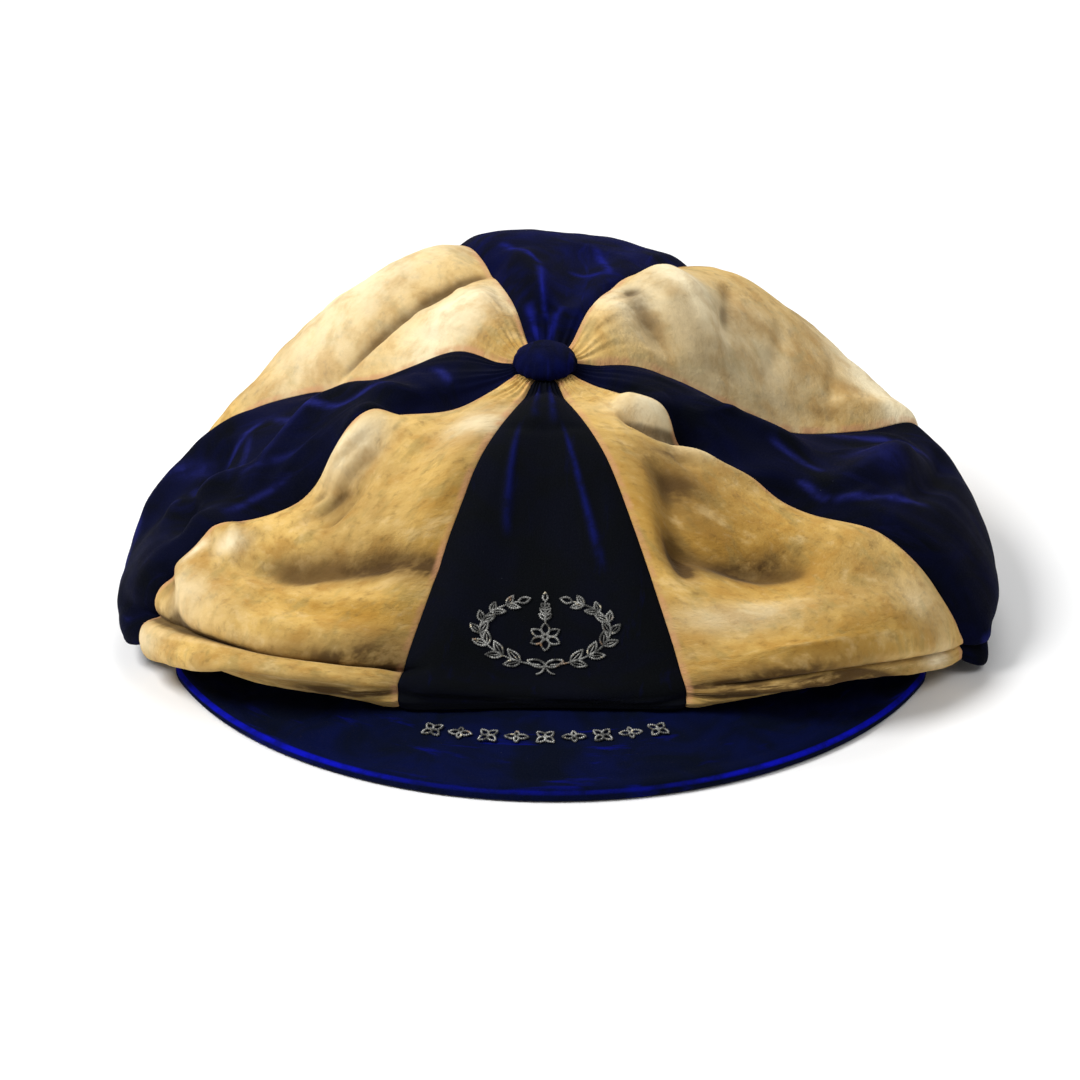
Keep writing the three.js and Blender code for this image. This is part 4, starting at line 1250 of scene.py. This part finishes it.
def gold_cloth():
    """Aged gold cloth with a soft face: mottled, paler on its ridges, and brown in its creases, partly dirt
    and partly painted shade.
    """
    cloth = Finish("gold_cloth")
    flat = cloth.places()
    large = cloth.noise(flat, 30, 3, 0.6, 0.3)
    middle = cloth.noise(flat, 9, 4, 0.6, 0.15)
    small = cloth.noise(flat, 3, 4, 0.62)
    grain = cloth.noise(flat, 0.8, 3, 0.65)
    streaks = cloth.noise(cloth.places((1, 0.45, 1)), 5, 3, 0.6)
    cloth.start(cloth.span(large, 0.4, 0.62), TAN, GOLD)
    rich = cloth.number("rich")
    cloth.paint(cloth.times(rich, cloth.span(middle, 0.3, 0.6, 0.6, 1.1), clamp=True), RICH_GOLD)
    cloth.paint(cloth.span(middle, 0.46, 0.68, 0, 0.6), OCHRE)
    cloth.paint(cloth.span(streaks, 0.5, 0.68, 0, 0.55), OLIVE)
    cloth.paint(cloth.span(middle, 0.45, 0.3, 0, 0.35), PALE)
    cloth.paint(cloth.span(small, 0.5, 0.78, 0, 0.5), BROWN)
    cloth.paint(cloth.span(small, 0.44, 0.28, 0, 0.2), PALE)
    # Cream over these patches: partly real fading, partly painted light.
    faded_and_painted_light = cloth.number("faded_and_painted_light")
    cloth.paint(cloth.times(faded_and_painted_light, cloth.span(middle, 0.66, 0.4, 0.65, 1.15), clamp=True), CREAM)
    # Brown in the broad valleys and deep brown in the tight hollows: partly dirt, partly painted shade in the
    # creases.
    valley = cloth.span(middle, 0.25, 0.6, 0.3, 0.65)
    cloth.paint(cloth.times(cloth.span(cloth.number("valley"), 0.8, 3.6), valley), BROWN)
    cloth.paint(cloth.span(cloth.number("hollow"), 0.8, 2, 0, 0.55), DEEP_BROWN)
    # Brown and deep brown over these patches: partly real stains, partly painted shade.
    stain_and_shade = cloth.times(cloth.number("stain_and_shade"), cloth.span(middle, 0.25, 0.55, 0.55, 1.1))
    cloth.paint(cloth.times(stain_and_shade, 0.85, clamp=True), BROWN)
    cloth.paint(cloth.span(stain_and_shade, 0.75, 1.05, 0, 0.6), DEEP_BROWN)
    ridge = cloth.span(small, 0.3, 0.6, 1, 0.4)
    ridge = cloth.times(cloth.span(cloth.number("crest"), 0.25, 0.8, 0, 0.5), ridge)
    cloth.paint(cloth.times(cloth.span(cloth.number("stain_and_shade"), 0, 0.6, 1, 0), ridge), PALE)
    rim = cloth.span(middle, 0.35, 0.6, 0.15, 1)
    cloth.paint(cloth.times(cloth.span(cloth.number("seam"), 2.4, 0.8, 0, 0.7), rim), ROSE)
    normal = cloth.bump(grain, 0.2, 0.7)
    normal = cloth.bump(small, 0.6, 0.7, normal)
    normal = cloth.bump(middle, 0.9, 0.5, normal)
    rough = cloth.span(small, 0.3, 0.7, 0.72, 0.95)
    return cloth.done(Roughness=rough, Normal=normal, Specular_IOR_Level=0.12,
                      Sheen_Weight=0.1, Sheen_Roughness=0.5, Sheen_Tint=srgb(255, 236, 204))


def lining_cloth():
    """The plain woven back of the gores."""
    cloth = Finish("lining_cloth")
    flat = cloth.places()
    weave = cloth.waves(flat, 260.0, 0.4)
    threads = cloth.times(weave, cloth.waves(cloth.places((0.0, 1.0, 1.0)), 260.0, direction="Y"))
    cloth.start(cloth.noise(flat, 18, 4, 0.6), srgb(38, 33, 28), srgb(66, 58, 48))
    cloth.paint(cloth.times(threads, 0.3), srgb(92, 84, 72))
    return cloth.done(Roughness=0.9, Normal=cloth.bump(threads, 0.12, 0.6), Specular_IOR_Level=0.2)


def band_twill():
    """The headband's plain dark twill: fine slanting ribs, dulled by wear."""
    cloth = Finish("band_twill")
    flat = cloth.places()
    ribs = cloth.waves(flat, 240.0, 0.5, "DIAGONAL")
    wear = cloth.noise(flat, 14, 4, 0.6, 0.5)
    cloth.start(wear, srgb(40, 36, 33), srgb(62, 56, 50))
    cloth.paint(cloth.times(ribs, 0.35), srgb(92, 85, 76))
    normal = cloth.bump(wear, 0.4, 0.4)
    normal = cloth.bump(ribs, 0.15, 0.6, normal)
    return cloth.done(Roughness=0.88, Normal=normal, Specular_IOR_Level=0.2)


def metal_thread():
    """Tarnished silver thread, with brighter, coppery and blackened lengths."""
    thread = Finish("silver_thread")
    place = thread.position()
    lengths = thread.noise(place, 2.2, 2)
    thread.start(thread.span(lengths, 0.35, 0.65), srgb(70, 70, 68), srgb(150, 150, 146))
    thread.paint(thread.span(thread.noise(place, 1.3, 1), 0.66, 0.74), srgb(206, 196, 170))
    thread.paint(thread.span(thread.noise(place, 4.5, 2), 0.62, 0.72, 0, 0.6), srgb(150, 108, 60))
    rough = thread.span(lengths, 0.3, 0.7, 0.6, 0.35)
    normal = thread.bump(thread.noise(place, 0.3, 1), 0.1, 0.6)
    return thread.done(Metallic=0.65, Roughness=rough, Normal=normal)


def linen_thread():
    """The headband's dull sewing thread."""
    thread = Finish("linen_thread")
    place = thread.position()
    thread.start(thread.noise(place, 1.5, 2), srgb(96, 84, 66), srgb(150, 134, 108))
    return thread.done(Roughness=0.8, Normal=thread.bump(thread.noise(place, 0.25, 1), 0.08))


# ---- The pieces in their places ----
def set_up(piece, slot, materials, *nodes):
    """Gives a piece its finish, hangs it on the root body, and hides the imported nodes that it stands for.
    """
    for material in materials:
        piece.data.materials.append(material)
    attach(piece, "root")
    if nodes:
        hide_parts(*nodes)


def build():
    cloth = {look["kind"]: velvet(**look) for look in VELVETS}
    cloth["gold"] = gold_cloth()
    lining = lining_cloth()
    for gore in GORES:
        piece, area, width, length = gore_piece(gore)
        slot = "gold_cloth" if gore["cloth"] == "gold" else "blue_velvet"
        set_up(piece, slot, [cloth[gore["cloth"]], lining], gore["node"])
    set_up(peak_piece(), "blue_velvet", [cloth["peak"]], "peak")
    set_up(button_piece(), "blue_velvet", [cloth["back"]], "button")
    set_up(band_piece(), "band_cloth", [band_twill()], "headband")
    set_up(band_stitches(), "band_cloth", [linen_thread()])
    thread = metal_thread()
    set_up(wreath_piece(), "silver_thread", [thread], "badge")
    set_up(ornament_piece(), "silver_thread", [thread])


# ---- Floor, light and camera ----
VIEW = {"distance": 1.1, "elevation": 25, "lens": 124, "sensor": 36, "aim": (-1.5, -20, 30)}
LIGHTS = rows(["name", "place", "aim", "size", "power"], [
    ["key", (-0.76, -0.2, 1.0), (0, 0, 0.03), 0.6, 14.8],
    ["fill", (0.7, -0.5, 1.2), (0, 0, 0.03), 0.9, 5],
    ["back", (0.1, 1.3, 1.2), (0.05, 0.15, 0.03), 1.0, 12],
])
SKY = 0.23
FLOOR_HALF = 4
PAPER = (0.94, 0.94, 0.94, 1)


def look_at(thing, place, aim):
    thing.location = place
    away = Vector(place) - Vector(aim)
    thing.rotation_euler = away.to_track_quat("Z", "Y").to_euler()


def floor():
    mesh = bpy.data.meshes.new("floor")
    corners = [(x * FLOOR_HALF, y * FLOOR_HALF, 0) for x, y in ((-1, -1), (1, -1), (1, 1), (-1, 1))]
    mesh.from_pydata(corners, [], [[0, 1, 2, 3]])
    plane = add("floor", mesh)
    paper = Finish("floor_paper")
    paper.base = PAPER
    mesh.materials.append(paper.done(Roughness=0.9, Specular_IOR_Level=0.1))


def lights():
    for row in LIGHTS:
        data = bpy.data.lights.new(row["name"], "AREA")
        data.shape = "DISK"
        data.size = row["size"]
        data.energy = row["power"]
        look_at(add(row["name"], data), row["place"], row["aim"])
    world = bpy.data.worlds.new("studio")
    world.use_nodes = True
    sky = world.node_tree.nodes["Background"].inputs
    sky["Color"].default_value = (1, 1, 1, 1)
    sky["Strength"].default_value = SKY
    bpy.context.scene.world = world


def camera():
    data = bpy.data.cameras.new("camera")
    data.lens = VIEW["lens"]
    data.sensor_width = VIEW["sensor"]
    view = add("camera", data)
    aim = metres(VIEW["aim"])
    angle = math.radians(VIEW["elevation"])
    place = aim + VIEW["distance"] * np.array([0, -math.cos(angle), math.sin(angle)])
    look_at(view, tuple(place), tuple(aim))
    bpy.context.scene.camera = view


build()
floor()
lights()
camera()
bpy.context.scene.view_settings.view_transform = "Standard"
